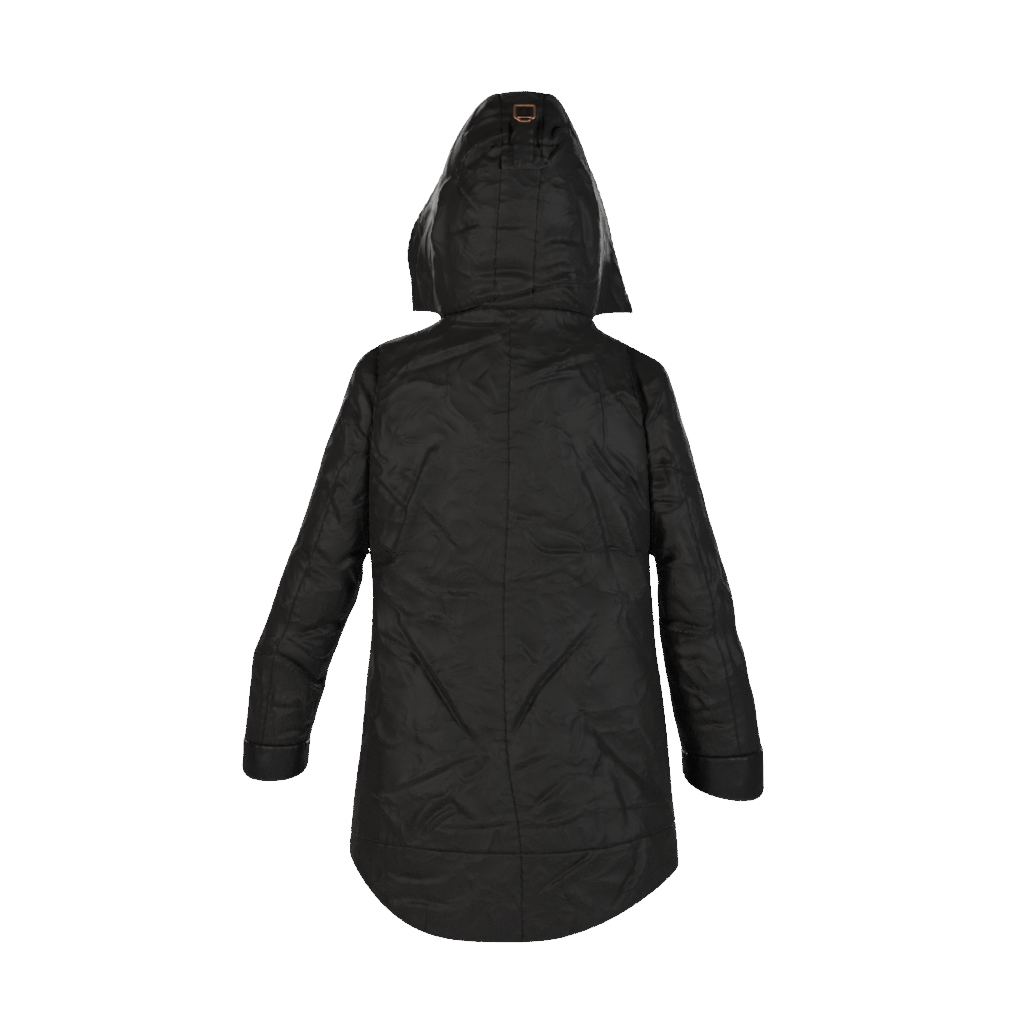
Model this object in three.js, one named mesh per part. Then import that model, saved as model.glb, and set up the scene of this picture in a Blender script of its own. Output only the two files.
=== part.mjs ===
import * as THREE from "three";

// A hooded parka in millimetres, filled out as if worn, with nobody in it.
// Z is up, the front faces -Y and the wearer's left is +X.
// The origin is the middle of the neck, level with the tops of the shoulders.

const WALL = 3; // shell cloth and its warm layer together
const SEAM_GAP = 0.3;
const HALF_GAP = SEAM_GAP / 2;
const LEFT = 1;
const RIGHT = -1;
const BACK = 1;
const FRONT = -1;

const SHOULDER_TIP = -26; // height where the shoulder seam meets the armhole
const UNDERARM = -312;
const ARMHOLE_HALF_DEPTH = { back: 62, front: 68 };
const ARMHOLE_POWER = 0.7; // 1 for a pointed opening, less for a rounder one
const ARMHOLE_STEPS = 11;
const ARMHOLE_EDGE_SHARE = 1.6; // keeps the armhole's opening to the panel's edge
const PANEL_COLUMNS = 12;
const NECK_RISE = { back: 17, front: -62 }; // centre of the neckline against its sides
const NECK_RISE_FADES = 150; // how far down the rise is felt

// Horizontal sections of the body. left and right are the half widths of the two sides, centre is
// where the back seam runs, and power is 1 for an ellipse, less for a squarer section.
const BODY_SECTIONS = [
  { z: 5, left: 104, right: 106, centre: 6, back: 80, front: 84, power: 1.0 },
  { z: -3, left: 119, right: 110, centre: 7, back: 83, front: 87, power: 1.12 },
  { z: -11, left: 140, right: 120, centre: 7, back: 86, front: 90, power: 1.25 },
  { z: -19, left: 166, right: 136, centre: 8, back: 90, front: 93, power: 1.32 },
  { z: -26, left: 184, right: 150, centre: 8, back: 94, front: 96, power: 1.34 },
  { z: -49, left: 186, right: 152, centre: 8, back: 103, front: 105, power: 1.18 },
  { z: -75, left: 187, right: 157, centre: 9, back: 111, front: 113, power: 1.05 },
  { z: -108, left: 189, right: 165, centre: 10, back: 118, front: 120, power: 0.96 },
  { z: -150, left: 196, right: 175, centre: 10, back: 124, front: 128, power: 0.9 },
  { z: -190, left: 198, right: 178, centre: 10, back: 127, front: 134, power: 0.87 },
  { z: -230, left: 199, right: 181, centre: 11, back: 127, front: 137, power: 0.85 },
  { z: -270, left: 200, right: 183, centre: 12, back: 125, front: 138, power: 0.84 },
  { z: -312, left: 199, right: 182, centre: 14, back: 122, front: 138, power: 0.84 },
  { z: -350, left: 196, right: 184, centre: 16, back: 119, front: 138, power: 0.84 },
  { z: -390, left: 196, right: 187, centre: 17, back: 118, front: 138, power: 0.84 },
  { z: -430, left: 198, right: 190, centre: 16, back: 120, front: 139, power: 0.84 },
  { z: -475, left: 203, right: 196, centre: 16, back: 124, front: 141, power: 0.84 },
  { z: -520, left: 207, right: 202, centre: 15, back: 130, front: 143, power: 0.84 },
  { z: -565, left: 211, right: 207, centre: 13, back: 137, front: 145, power: 0.84 },
  { z: -610, left: 217, right: 211, centre: 8, back: 143, front: 147, power: 0.84 },
  { z: -655, left: 222, right: 215, centre: 0, back: 147, front: 149, power: 0.84 },
  { z: -700, left: 226, right: 220, centre: -6, back: 150, front: 150, power: 0.84 },
  { z: -760, left: 225, right: 222, centre: -8, back: 150, front: 149, power: 0.84 },
  { z: -850, left: 219, right: 219, centre: -8, back: 146, front: 147, power: 0.84 },
];
const ROWS_BELOW_ARMHOLE = 9;

// The hem seam and the lower edge, at the centre and at each side, and how far the curve on each
// side stays low before it rises.
const HEM_SEAM = {
  back: { centre: -710, left: -690, right: -674, leftBend: 2, rightBend: 2 },
  front: { centre: -692, left: -690, right: -674, leftBend: 2, rightBend: 2 },
};
const HEM_EDGE = {
  back: { centre: -829, left: -720, right: -735, leftBend: 3.3, rightBend: 1.65 },
  front: { centre: -752, left: -720, right: -735, leftBend: 2, rightBend: 2 },
};
const HEM_ROWS = 3;

// Large soft folds of the back, from one end to the other as seen from behind.
const BACK_FOLDS = [
  { x0: 113, z0: -175, x1: 163, z1: -312, width: 20, rise: 7 },
  { x0: 163, z0: -312, x1: 184, z1: -470, width: 18, rise: 6 },
  { x0: -143, z0: -258, x1: -178, z1: -372, width: 20, rise: 7 },
  { x0: -98, z0: -160, x1: -122, z1: -200, width: 18, rise: -5 },
  { x0: -124, z0: -169, x1: -178, z1: -250, width: 20, rise: -6 },
  { x0: 154, z0: -402, x1: 46, z1: -566, width: 24, rise: -6 },
  { x0: -98, z0: -400, x1: 27, z1: -590, width: 24, rise: -6 },
  { x0: -98, z0: -535, x1: -201, z1: -638, width: 34, rise: -7 },
  { x0: 196, z0: -328, x1: 160, z1: -322, width: 16, rise: -6 },
  { x0: 143, z0: -687, x1: 50, z1: -630, width: 22, rise: 5 },
];
const FRONT_FOLDS = [
  { x0: 120, z0: -180, x1: 160, z1: -330, width: 22, rise: 6 },
  { x0: -118, z0: -190, x1: -158, z1: -330, width: 22, rise: 6 },
  { x0: 150, z0: -400, x1: 60, z1: -560, width: 26, rise: -6 },
  { x0: -150, z0: -420, x1: -60, z1: -590, width: 26, rise: -6 },
];

// Rings of the sleeves below the armhole: the outer and inner point of each as seen from behind, its
// whole depth, how far forward its middle lies, and how much lower its back is than its middle.
const LEFT_SLEEVE = [
  { outerX: 208, outerZ: -41, innerX: 202, innerZ: -313, depth: 138, forward: 2, dip: 0 },
  { outerX: 225, outerZ: -71, innerX: 204, innerZ: -317, depth: 146, forward: 3, dip: 0 },
  { outerX: 240, outerZ: -113, innerX: 206, innerZ: -322, depth: 150, forward: 5, dip: 0 },
  { outerX: 255, outerZ: -154, innerX: 207, innerZ: -329, depth: 152, forward: 7, dip: 0 },
  { outerX: 269, outerZ: -197, innerX: 207, innerZ: -337, depth: 152, forward: 9, dip: 0 },
  { outerX: 283, outerZ: -242, innerX: 208, innerZ: -347, depth: 150, forward: 11, dip: 0 },
  { outerX: 298, outerZ: -286, innerX: 211, innerZ: -359, depth: 148, forward: 13, dip: 0 },
  { outerX: 315, outerZ: -328, innerX: 216, innerZ: -373, depth: 146, forward: 16, dip: 0 },
  { outerX: 330, outerZ: -370, innerX: 225, innerZ: -392, depth: 143, forward: 19, dip: 0 },
  { outerX: 343, outerZ: -408, innerX: 236, innerZ: -419, depth: 139, forward: 23, dip: 1 },
  { outerX: 356, outerZ: -441, innerX: 246, innerZ: -444, depth: 134, forward: 27, dip: 2 },
  { outerX: 361, outerZ: -470, innerX: 255, innerZ: -468, depth: 130, forward: 31, dip: 4 },
  { outerX: 365, outerZ: -500, innerX: 262, innerZ: -498, depth: 126, forward: 35, dip: 6 },
  { outerX: 368, outerZ: -531, innerX: 272, innerZ: -529, depth: 121, forward: 39, dip: 8 },
  { outerX: 371, outerZ: -561, innerX: 281, innerZ: -562, depth: 116, forward: 43, dip: 10 },
];
const RIGHT_SLEEVE = [
  { outerX: 177, outerZ: -39, innerX: 186, innerZ: -314, depth: 138, forward: 2, dip: 0 },
  { outerX: 202, outerZ: -57, innerX: 188, innerZ: -318, depth: 146, forward: 3, dip: 0 },
  { outerX: 215, outerZ: -91, innerX: 189, innerZ: -324, depth: 150, forward: 5, dip: 0 },
  { outerX: 227, outerZ: -131, innerX: 190, innerZ: -331, depth: 152, forward: 7, dip: 0 },
  { outerX: 238, outerZ: -166, innerX: 191, innerZ: -340, depth: 153, forward: 9, dip: 0 },
  { outerX: 249, outerZ: -207, innerX: 192, innerZ: -351, depth: 152, forward: 11, dip: 0 },
  { outerX: 261, outerZ: -252, innerX: 192, innerZ: -363, depth: 150, forward: 13, dip: 0 },
  { outerX: 273, outerZ: -292, innerX: 193, innerZ: -377, depth: 148, forward: 15, dip: 0 },
  { outerX: 286, outerZ: -336, innerX: 194, innerZ: -396, depth: 145, forward: 18, dip: 0 },
  { outerX: 296, outerZ: -374, innerX: 195, innerZ: -420, depth: 142, forward: 21, dip: 0 },
  { outerX: 301, outerZ: -411, innerX: 197, innerZ: -441, depth: 138, forward: 24, dip: 1 },
  { outerX: 310, outerZ: -443, innerX: 203, innerZ: -465, depth: 134, forward: 28, dip: 3 },
  { outerX: 317, outerZ: -476, innerX: 209, innerZ: -494, depth: 130, forward: 32, dip: 5 },
  { outerX: 326, outerZ: -507, innerX: 214, innerZ: -524, depth: 126, forward: 36, dip: 8 },
  { outerX: 331, outerZ: -541, innerX: 220, innerZ: -552, depth: 122, forward: 40, dip: 10 },
  { outerX: 336, outerZ: -574, innerX: 226, innerZ: -576, depth: 117, forward: 44, dip: 12 },
];
const LEFT_CUFF = [
  { outerX: 373, outerZ: -561.4, innerX: 280, innerZ: -562.4, depth: 119, forward: 43, dip: 10 },
  { outerX: 374, outerZ: -582, innerX: 282, innerZ: -581, depth: 120, forward: 46, dip: 15 },
  { outerX: 375, outerZ: -603, innerX: 284, innerZ: -599, depth: 118, forward: 49, dip: 19 },
];
const RIGHT_CUFF = [
  { outerX: 338, outerZ: -574.4, innerX: 225, innerZ: -576.4, depth: 120, forward: 44, dip: 12 },
  { outerX: 340, outerZ: -604, innerX: 226, innerZ: -593, depth: 121, forward: 47, dip: 18 },
  { outerX: 340, outerZ: -632, innerX: 227, innerZ: -609, depth: 119, forward: 50, dip: 24 },
];
const SLEEVE_POWER = 0.92;
const FRONT_SEAM_STEP = 14; // of the steps round a sleeve, counted from its outer point
const BACK_SEAM_STEPS = { armhole: 6, arm: 4 };
const SEAM_BLEND_RINGS = 4;
const ARMHOLE_GAP = 0.35;

// Pinched creases of the sleeves: ring and turn where each lies, its reach along and round the
// sleeve, and its rise.
const LEFT_SLEEVE_FOLDS = [
  { ring: 10.2, turn: 100, along: 0.6, round: 50, rise: -6 },
  { ring: 11.4, turn: 70, along: 0.6, round: 60, rise: 5 },
  { ring: 7, turn: 130, along: 0.7, round: 50, rise: -5 },
];
const RIGHT_SLEEVE_FOLDS = [
  { ring: 10.8, turn: 110, along: 0.6, round: 70, rise: -7 },
  { ring: 6, turn: 130, along: 0.7, round: 45, rise: -5 },
  { ring: 12.6, turn: 60, along: 0.6, round: 45, rise: 4 },
];

// Ribs of the hood from the neck to the brim: where each crosses the seams of the centre panel,
// the side of the head and the free front edge.
const HOOD_PROFILE = [
  { y: 80, z: 23, left: 30, right: 23 },
  { y: 97, z: 58, left: 29, right: 24 },
  { y: 111, z: 103, left: 27, right: 26 },
  { y: 118, z: 150, left: 24, right: 29 },
  { y: 114, z: 196, left: 21, right: 33 },
  { y: 103, z: 238, left: 19, right: 35 },
  { y: 86, z: 272, left: 19, right: 36 },
  { y: 61, z: 301, left: 20, right: 37 },
  { y: -14, z: 317, left: 22, right: 40 },
  { y: -118, z: 318, left: 24, right: 46 },
];
const LEFT_HOOD = [
  { sideX: 103, sideY: 2, sideZ: 7, edgeX: 143, edgeY: -118, edgeZ: 24 },
  { sideX: 112, sideY: 6, sideZ: 50, edgeX: 147, edgeY: -117, edgeZ: 68 },
  { sideX: 115, sideY: 6, sideZ: 97, edgeX: 151, edgeY: -115, edgeZ: 104 },
  { sideX: 114, sideY: 4, sideZ: 143, edgeX: 143, edgeY: -113, edgeZ: 140 },
  { sideX: 106, sideY: -2, sideZ: 188, edgeX: 122, edgeY: -114, edgeZ: 178 },
  { sideX: 94, sideY: -12, sideZ: 228, edgeX: 104, edgeY: -117, edgeZ: 212 },
  { sideX: 79, sideY: -26, sideZ: 260, edgeX: 88, edgeY: -120, edgeZ: 245 },
  { sideX: 62, sideY: -50, sideZ: 286, edgeX: 75, edgeY: -122, edgeZ: 272 },
  { sideX: 46, sideY: -86, sideZ: 304, edgeX: 56, edgeY: -124, edgeZ: 294 },
  { sideX: 34, sideY: -120, sideZ: 311, edgeX: 42, edgeY: -125, edgeZ: 305 },
];
const RIGHT_HOOD = [
  { sideX: 105, sideY: 2, sideZ: 7, edgeX: 162, edgeY: -116, edgeZ: 22 },
  { sideX: 114, sideY: 6, sideZ: 50, edgeX: 148, edgeY: -116, edgeZ: 69 },
  { sideX: 117, sideY: 6, sideZ: 97, edgeX: 138, edgeY: -115, edgeZ: 106 },
  { sideX: 115, sideY: 4, sideZ: 143, edgeX: 129, edgeY: -113, edgeZ: 145 },
  { sideX: 107, sideY: -2, sideZ: 188, edgeX: 119, edgeY: -114, edgeZ: 180 },
  { sideX: 96, sideY: -12, sideZ: 228, edgeX: 108, edgeY: -117, edgeZ: 210 },
  { sideX: 84, sideY: -26, sideZ: 260, edgeX: 93, edgeY: -120, edgeZ: 243 },
  { sideX: 71, sideY: -50, sideZ: 286, edgeX: 82, edgeY: -122, edgeZ: 274 },
  { sideX: 61, sideY: -86, sideZ: 304, edgeX: 68, edgeY: -124, edgeZ: 296 },
  { sideX: 55, sideY: -120, sideZ: 311, edgeX: 59, edgeY: -125, edgeZ: 305 },
];
const HOOD_ROWS = 18;
const HOOD_COLUMNS = 12;
const HOOD_CENTRE_COLUMNS = 4;
const HOOD_CROWN = 3; // how far the centre panel swells between its seams
const NECK_SEAM_LIFT = 0.4;

const COLLAR = { inset: 4.1, below: 8, height: 42, lean: 4, steps: 7, rows: 2, opening: 0.02, wall: 2.5 };
const PLACKET = { halfWidth: 29, columns: 4, wall: 2.5, off: 1.6 };

// The adjuster on the back of the hood, one layer on another. Its heights are along the hood's own
// profile, in ribs, and its widths are across the hood.
const TAB = {
  inner: 18, outer: -45, mid: 4.42, half: 0.21, point: -30, tip: 0.12, wall: 1.4, off: 0.4, columns: 9,
};
const STRAP = { middle: -11.5, width: 22, ribs: [4.2, 4.5, 5, 5.45, 5.86], wall: 1.6, off: 2.4 };
const KEEPER = { middle: -10, width: 23, ribs: [4.25, 4.5, 4.97], wall: 1.4, off: 4.3 };
const BUCKLE = { width: 30, height: 29, bar: 3, wall: 2.6, rib: 6.19, facing: 6.42, corner: 5, off: 7.3 };

const CLOTH = { color: 0x1d1c1c, roughness: 0.78, metalness: 0 };
const CUFF_CLOTH = { color: 0x191818, roughness: 0.7, metalness: 0 };
const METAL = { color: 0xb9795a, roughness: 0.28, metalness: 1 };

const garment = new THREE.Group();

function add(name, geometry, look = CLOTH) {
  const mesh = new THREE.Mesh(geometry, new THREE.MeshStandardMaterial(look));
  mesh.name = name;
  garment.add(mesh);
}

// A smooth curve through one column of a table, at any value of the column that orders it.
function follow(table, order, column, at) {
  const sign = Math.sign(table[table.length - 1][order] - table[0][order]);
  let i = 0;
  while (i < table.length - 2 && (at - table[i + 1][order]) * sign > 0) i += 1;
  return hermite(table, i, (row) => row[order], (row) => row[column], at);
}

function hermite(table, i, key, value, at) {
  const slope = (j) => {
    const a = table[Math.max(j - 1, 0)];
    const b = table[Math.min(j + 1, table.length - 1)];
    return (value(b) - value(a)) / (key(b) - key(a));
  };
  const low = table[i];
  const high = table[i + 1];
  const span = key(high) - key(low);
  const s = THREE.MathUtils.clamp((at - key(low)) / span, 0, 1);
  const rise = (2 * s - 3) * s * s + 1;
  return (
    rise * value(low) +
    (1 - rise) * value(high) +
    s * (s - 1) * (s - 1) * span * slope(i) +
    s * s * (s - 1) * span * slope(i + 1)
  );
}

// The same for a table whose rows are evenly numbered.
function followRows(table, column, at) {
  const numbered = table.map((row, i) => ({ i, value: row[column] }));
  return follow(numbered, "i", "value", at);
}

// One closed wall between an outer and an inner grid of points. around joins its first and last column.
function wallGeometry(outer, inner, around = false) {
  const rows = outer.length;
  const columns = outer[0].length;
  const points = [...outer.flat(), ...inner.flat()];
  const at = (layer, i, j) => layer * rows * columns + i * columns + (j % columns);
  const index = [];
  const quad = (a, b, c, d) => index.push(a, b, c, a, c, d);
  const last = around ? columns : columns - 1;
  for (let i = 0; i < rows - 1; i += 1) {
    for (let j = 0; j < last; j += 1) {
      quad(at(0, i, j), at(0, i, j + 1), at(0, i + 1, j + 1), at(0, i + 1, j));
      quad(at(1, i, j), at(1, i + 1, j), at(1, i + 1, j + 1), at(1, i, j + 1));
    }
  }
  for (let j = 0; j < last; j += 1) {
    quad(at(0, 0, j), at(1, 0, j), at(1, 0, j + 1), at(0, 0, j + 1));
    quad(at(0, rows - 1, j), at(0, rows - 1, j + 1), at(1, rows - 1, j + 1), at(1, rows - 1, j));
  }
  for (let i = 0; i < rows - 1 && !around; i += 1) {
    quad(at(0, i, 0), at(0, i + 1, 0), at(1, i + 1, 0), at(1, i, 0));
    quad(at(0, i, last), at(1, i, last), at(1, i + 1, last), at(0, i + 1, last));
  }
  return facingOut(points, index);
}

function facingOut(points, index) {
  let volume = 0;
  for (let k = 0; k < index.length; k += 3) {
    const [a, b, c] = [points[index[k]], points[index[k + 1]], points[index[k + 2]]];
    volume += a.dot(new THREE.Vector3().crossVectors(b, c));
  }
  if (volume < 0) index.reverse();
  const geometry = new THREE.BufferGeometry().setFromPoints(points);
  geometry.setIndex(index);
  geometry.computeVertexNormals();
  return geometry;
}

// Unit normals of a grid, pointing away from middle. square names, for each of the grid's four
// edges, the axis across the seam there, so that two walls meet along one plane.
function gridNormals(grid, middle, square = {}) {
  const rows = grid.length;
  const columns = grid[0].length;
  const normals = grid.map((row, i) =>
    row.map((_, j) => {
      const down = grid[Math.min(i + 1, rows - 1)][j].clone().sub(grid[Math.max(i - 1, 0)][j]);
      const along = row[Math.min(j + 1, columns - 1)].clone().sub(row[Math.max(j - 1, 0)]);
      return along.cross(down).normalize();
    }),
  );
  const m = grid[rows >> 1][columns >> 1];
  if (normals[rows >> 1][columns >> 1].dot(m.clone().sub(middle)) < 0) {
    normals.flat().forEach((n) => n.negate());
  }
  const flatten = (n, axis) => axis && n.setComponent("xyz".indexOf(axis), 0).normalize();
  normals.forEach((row, i) => {
    flatten(row[0], square.first);
    flatten(row[columns - 1], square.last);
    if (i === 0) row.forEach((n) => flatten(n, square.top));
    if (i === rows - 1) row.forEach((n) => flatten(n, square.bottom));
  });
  return normals;
}

function moved(grid, normals, by) {
  return grid.map((row, i) => row.map((p, j) => p.clone().addScaledVector(normals[i][j], by)));
}

function makeGrid(rows, columns, point) {
  return Array.from({ length: rows + 1 }, (_, i) =>
    Array.from({ length: columns + 1 }, (_, j) => point(i, j)),
  );
}

function sideName(side) {
  return side === LEFT ? "left" : "right";
}

function faceName(face) {
  return face === BACK ? "back" : "front";
}

// Half the opening of the armhole at a height, nothing above the shoulder or below the underarm.
function armholeHalf(face, z) {
  const t = (SHOULDER_TIP - z) / (SHOULDER_TIP - UNDERARM);
  if (t <= 0 || t >= 1) return 0;
  return ARMHOLE_HALF_DEPTH[faceName(face)] * Math.sin(Math.PI * t) ** ARMHOLE_POWER;
}

function foldRise(folds, x, z) {
  let rise = 0;
  for (const fold of folds) {
    const along = new THREE.Vector2(fold.x1 - fold.x0, fold.z1 - fold.z0);
    const from = new THREE.Vector2(x - fold.x0, z - fold.z0);
    const share = THREE.MathUtils.clamp(from.dot(along) / along.lengthSq(), 0, 1);
    const off = from.addScaledVector(along, -share).length() / fold.width;
    rise += fold.rise * Math.exp(-off * off);
  }
  return rise;
}

// A point of the body: t runs from the centre seam, 0, to the side seam or armhole, 1.
function bodyPoint(side, face, z, t, lift = 0) {
  const turn = (t * Math.PI) / 2;
  const power = follow(BODY_SECTIONS, "z", "power", z);
  const centre = face === BACK ? follow(BODY_SECTIONS, "z", "centre", z) : 0;
  const edge = side * follow(BODY_SECTIONS, "z", sideName(side), z);
  const depth = follow(BODY_SECTIONS, "z", faceName(face), z);
  const armhole = armholeHalf(face, z);
  const x = centre + (edge - centre) * Math.sin(turn) ** power;
  const bulge = Math.max(Math.cos(turn), 0) ** power;
  const folds = face === BACK ? BACK_FOLDS : FRONT_FOLDS;
  const fold = foldRise(folds, x, z) * Math.min(1, 2 * bulge);
  const edgeShare = (1 - bulge) ** ARMHOLE_EDGE_SHARE;
  return new THREE.Vector3(x, face * (armhole * edgeShare + depth * bulge + fold), z + lift);
}

// How far the neckline's shape lifts a point of the body above its section.
function neckLift(face, z, t) {
  const fade = THREE.MathUtils.clamp(1 - (BODY_SECTIONS[0].z - z) / NECK_RISE_FADES, 0, 1);
  return NECK_RISE[faceName(face)] * Math.cos((t * Math.PI) / 2) * fade * fade;
}

function hemHeight(shape, side, t) {
  const name = sideName(side);
  const out = Math.sin((t * Math.PI) / 2) ** shape[`${name}Bend`];
  return shape.centre + (shape[name] - shape.centre) * out;
}

// Heights of the rows of a body panel, from the neck to the underarm.
const UPPER_ROWS = [
  ...BODY_SECTIONS.slice(0, 4).map((section) => section.z),
  ...Array.from({ length: ARMHOLE_STEPS + 1 }, (_, k) => {
    const t = (1 - Math.cos((k * Math.PI) / ARMHOLE_STEPS)) / 2;
    return SHOULDER_TIP + (UNDERARM - SHOULDER_TIP) * t;
  }),
];

function bodyGridPoint(side, face, i, j) {
  const t = j / PANEL_COLUMNS;
  let p;
  if (i < UPPER_ROWS.length) {
    p = bodyPoint(side, face, UPPER_ROWS[i], t, neckLift(face, UPPER_ROWS[i], t));
  } else {
    const share = (i - UPPER_ROWS.length + 1) / ROWS_BELOW_ARMHOLE;
    const bottom = hemHeight(HEM_SEAM[faceName(face)], side, t) + HALF_GAP;
    p = bodyPoint(side, face, UNDERARM + (bottom - UNDERARM) * share, t);
  }
  return keepOffSeams(p, side, face, t);
}

// Moves the first and last column half a gap off the centre and side seams.
function keepOffSeams(p, side, face, t) {
  if (t === 0) p.x += side * HALF_GAP;
  if (t === 1) p.y += face * HALF_GAP;
  return p;
}

const BODY_MIDDLE = new THREE.Vector3(0, 0, -300);
const PANEL_EDGES = { first: "x", last: "y", bottom: "z" };

function bodyPanel(side, face) {
  const rows = UPPER_ROWS.length - 1 + ROWS_BELOW_ARMHOLE;
  const outer = makeGrid(rows, PANEL_COLUMNS, (i, j) => bodyGridPoint(side, face, i, j));
  const normals = gridNormals(outer, BODY_MIDDLE, PANEL_EDGES);
  add(`${faceName(face)}_${sideName(side)}`, wallGeometry(outer, moved(outer, normals, -WALL)));
}

function hemGridPoint(side, face, i, j) {
  const t = j / PANEL_COLUMNS;
  const top = hemHeight(HEM_SEAM[faceName(face)], side, t) - HALF_GAP;
  const bottom = hemHeight(HEM_EDGE[faceName(face)], side, t);
  return keepOffSeams(bodyPoint(side, face, top + ((bottom - top) * i) / HEM_ROWS, t), side, face, t);
}

function hemBand(side, face) {
  const outer = makeGrid(HEM_ROWS, PANEL_COLUMNS, (i, j) => hemGridPoint(side, face, i, j));
  const edges = { first: "x", last: "y", top: "z" };
  const normals = gridNormals(outer, new THREE.Vector3(0, 0, -750), edges);
  add(`hem_${faceName(face)}_${sideName(side)}`, wallGeometry(outer, moved(outer, normals, -WALL)));
}

// A ring of a sleeve, counted in equal turns from its outer point over the back.
function ringPoint(side, ring, turn, inset, swell = 0) {
  const cos = Math.cos(turn);
  const sin = Math.sin(turn);
  const width = Math.hypot(ring.outerX - ring.innerX, ring.outerZ - ring.innerZ) / 2;
  const reach = 1 + (swell - inset) / width;
  const half = ring.depth / 2 + swell - inset;
  const across = Math.sign(cos) * Math.abs(cos) ** SLEEVE_POWER * reach;
  const deep = Math.sign(sin) * Math.abs(sin) ** SLEEVE_POWER * half;
  const x = (ring.outerX + ring.innerX) / 2 + ((ring.outerX - ring.innerX) / 2) * across;
  const z = (ring.outerZ + ring.innerZ) / 2 + ((ring.outerZ - ring.innerZ) / 2) * across;
  return new THREE.Vector3(side * x, deep - ring.forward, z - (ring.dip * deep) / half);
}

// The sleeve's first ring, which is the armhole itself, just outside the body panels.
function armholePoint(side, step, inset) {
  const turn = (step * Math.PI) / ARMHOLE_STEPS;
  const face = Math.sin(turn) >= 0 ? BACK : FRONT;
  const t = (1 - Math.cos(turn)) / 2;
  const z = SHOULDER_TIP + (UNDERARM - SHOULDER_TIP) * t;
  const half = Math.abs(Math.sin(turn)) < 1e-6 ? 0 : armholeHalf(face, z);
  const x = side * (follow(BODY_SECTIONS, "z", sideName(side), z) + ARMHOLE_GAP);
  const shrink = 1 - (2 * inset) / (SHOULDER_TIP - UNDERARM);
  const middle = (SHOULDER_TIP + UNDERARM) / 2;
  const y = face * Math.max(half - inset * Math.abs(Math.sin(turn)), 0);
  return new THREE.Vector3(x, y, middle + (z - middle) * shrink);
}

function pinch(folds, ring, turn) {
  const degrees = THREE.MathUtils.radToDeg(turn);
  return folds.reduce((sum, fold) => {
    const along = (ring - fold.ring) / fold.along;
    const round = (THREE.MathUtils.euclideanModulo(degrees - fold.turn + 180, 360) - 180) / fold.round;
    return sum + fold.rise * Math.exp(-along * along - round * round);
  }, 0);
}

function sleevePoint(side, rings, folds, row, step, inset) {
  if (row === 0) return armholePoint(side, step, inset);
  const turn = (step * Math.PI) / ARMHOLE_STEPS;
  return ringPoint(side, rings[row - 1], turn, inset, pinch(folds, row, turn));
}

// The seam up the back of the sleeve starts low at the armhole and runs towards the outer side.
function backSeamStep(row) {
  const share = Math.min(row / SEAM_BLEND_RINGS, 1);
  return BACK_SEAM_STEPS.armhole + (BACK_SEAM_STEPS.arm - BACK_SEAM_STEPS.armhole) * share;
}

const FIRST_STEP = { back: BACK_SEAM_STEPS.armhole, front: FRONT_SEAM_STEP };
const LAST_STEP = { back: FRONT_SEAM_STEP, front: 2 * ARMHOLE_STEPS + BACK_SEAM_STEPS.armhole };

function sleevePiece(name, side, rings, folds, from, to) {
  const around = 2 * ARMHOLE_STEPS;
  const spread = (row) => {
    const start = from(row);
    const end = to(row);
    const steps = [start];
    for (let k = Math.floor(FIRST_STEP[name] + 1); k < LAST_STEP[name]; k += 1) {
      steps.push(THREE.MathUtils.mapLinear(k, FIRST_STEP[name], LAST_STEP[name], start, end));
    }
    steps.push(end);
    return steps;
  };
  const layer = (inset) =>
    Array.from({ length: rings.length + 1 }, (_, row) => {
      const steps = spread(row);
      return steps.map((step, k) => {
        const p = sleevePoint(side, rings, folds, row, step % around, inset);
        const next = sleevePoint(side, rings, folds, row, (step + 0.5) % around, inset);
        const before = sleevePoint(side, rings, folds, row, (step + around - 0.5) % around, inset);
        const along = next.sub(before).normalize();
        if (k === 0) p.addScaledVector(along, HALF_GAP);
        if (k === steps.length - 1) p.addScaledVector(along, -HALF_GAP);
        return p;
      });
    });
  add(`sleeve_${sideName(side)}_${name}`, wallGeometry(layer(0), layer(WALL)));
}

function sleeve(side, rings, folds) {
  const frontSeam = () => FRONT_SEAM_STEP;
  const wrapped = (row) => backSeamStep(row) + 2 * ARMHOLE_STEPS;
  sleevePiece("back", side, rings, folds, backSeamStep, frontSeam);
  sleevePiece("front", side, rings, folds, frontSeam, wrapped);
}

function cuff(side, rings) {
  const layer = (inset) =>
    rings.map((ring) =>
      Array.from({ length: 2 * ARMHOLE_STEPS }, (_, step) =>
        ringPoint(side, ring, (step * Math.PI) / ARMHOLE_STEPS, inset),
      ),
    );
  add(`cuff_${sideName(side)}`, wallGeometry(layer(0), layer(WALL), true), CUFF_CLOTH);
}

// A point of the hood's back profile, rib counted from the neck, 0, to the brim.
function profilePoint(rib, x) {
  return new THREE.Vector3(
    x,
    followRows(HOOD_PROFILE, "y", rib),
    followRows(HOOD_PROFILE, "z", rib),
  );
}

function hoodSidePoint(side, table, rib, t) {
  const seam = profilePoint(rib, side * followRows(HOOD_PROFILE, sideName(side), rib));
  const value = (column) => followRows(table, column, rib);
  if (t <= 0.5) {
    const turn = t * Math.PI;
    const across = Math.sin(turn);
    const back = Math.cos(turn);
    return new THREE.Vector3(
      seam.x + (side * value("sideX") - seam.x) * across,
      value("sideY") + (seam.y - value("sideY")) * back,
      value("sideZ") + (seam.z - value("sideZ")) * back,
    );
  }
  const s = 2 * t - 1;
  return new THREE.Vector3(
    side * (value("sideX") + (value("edgeX") - value("sideX")) * s * s),
    value("sideY") + (value("edgeY") - value("sideY")) * s,
    value("sideZ") + (value("edgeZ") - value("sideZ")) * s * (2 - s),
  );
}

const HOOD_MIDDLE = new THREE.Vector3(0, -20, 120);
const LAST_RIB = HOOD_PROFILE.length - 1;

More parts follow.
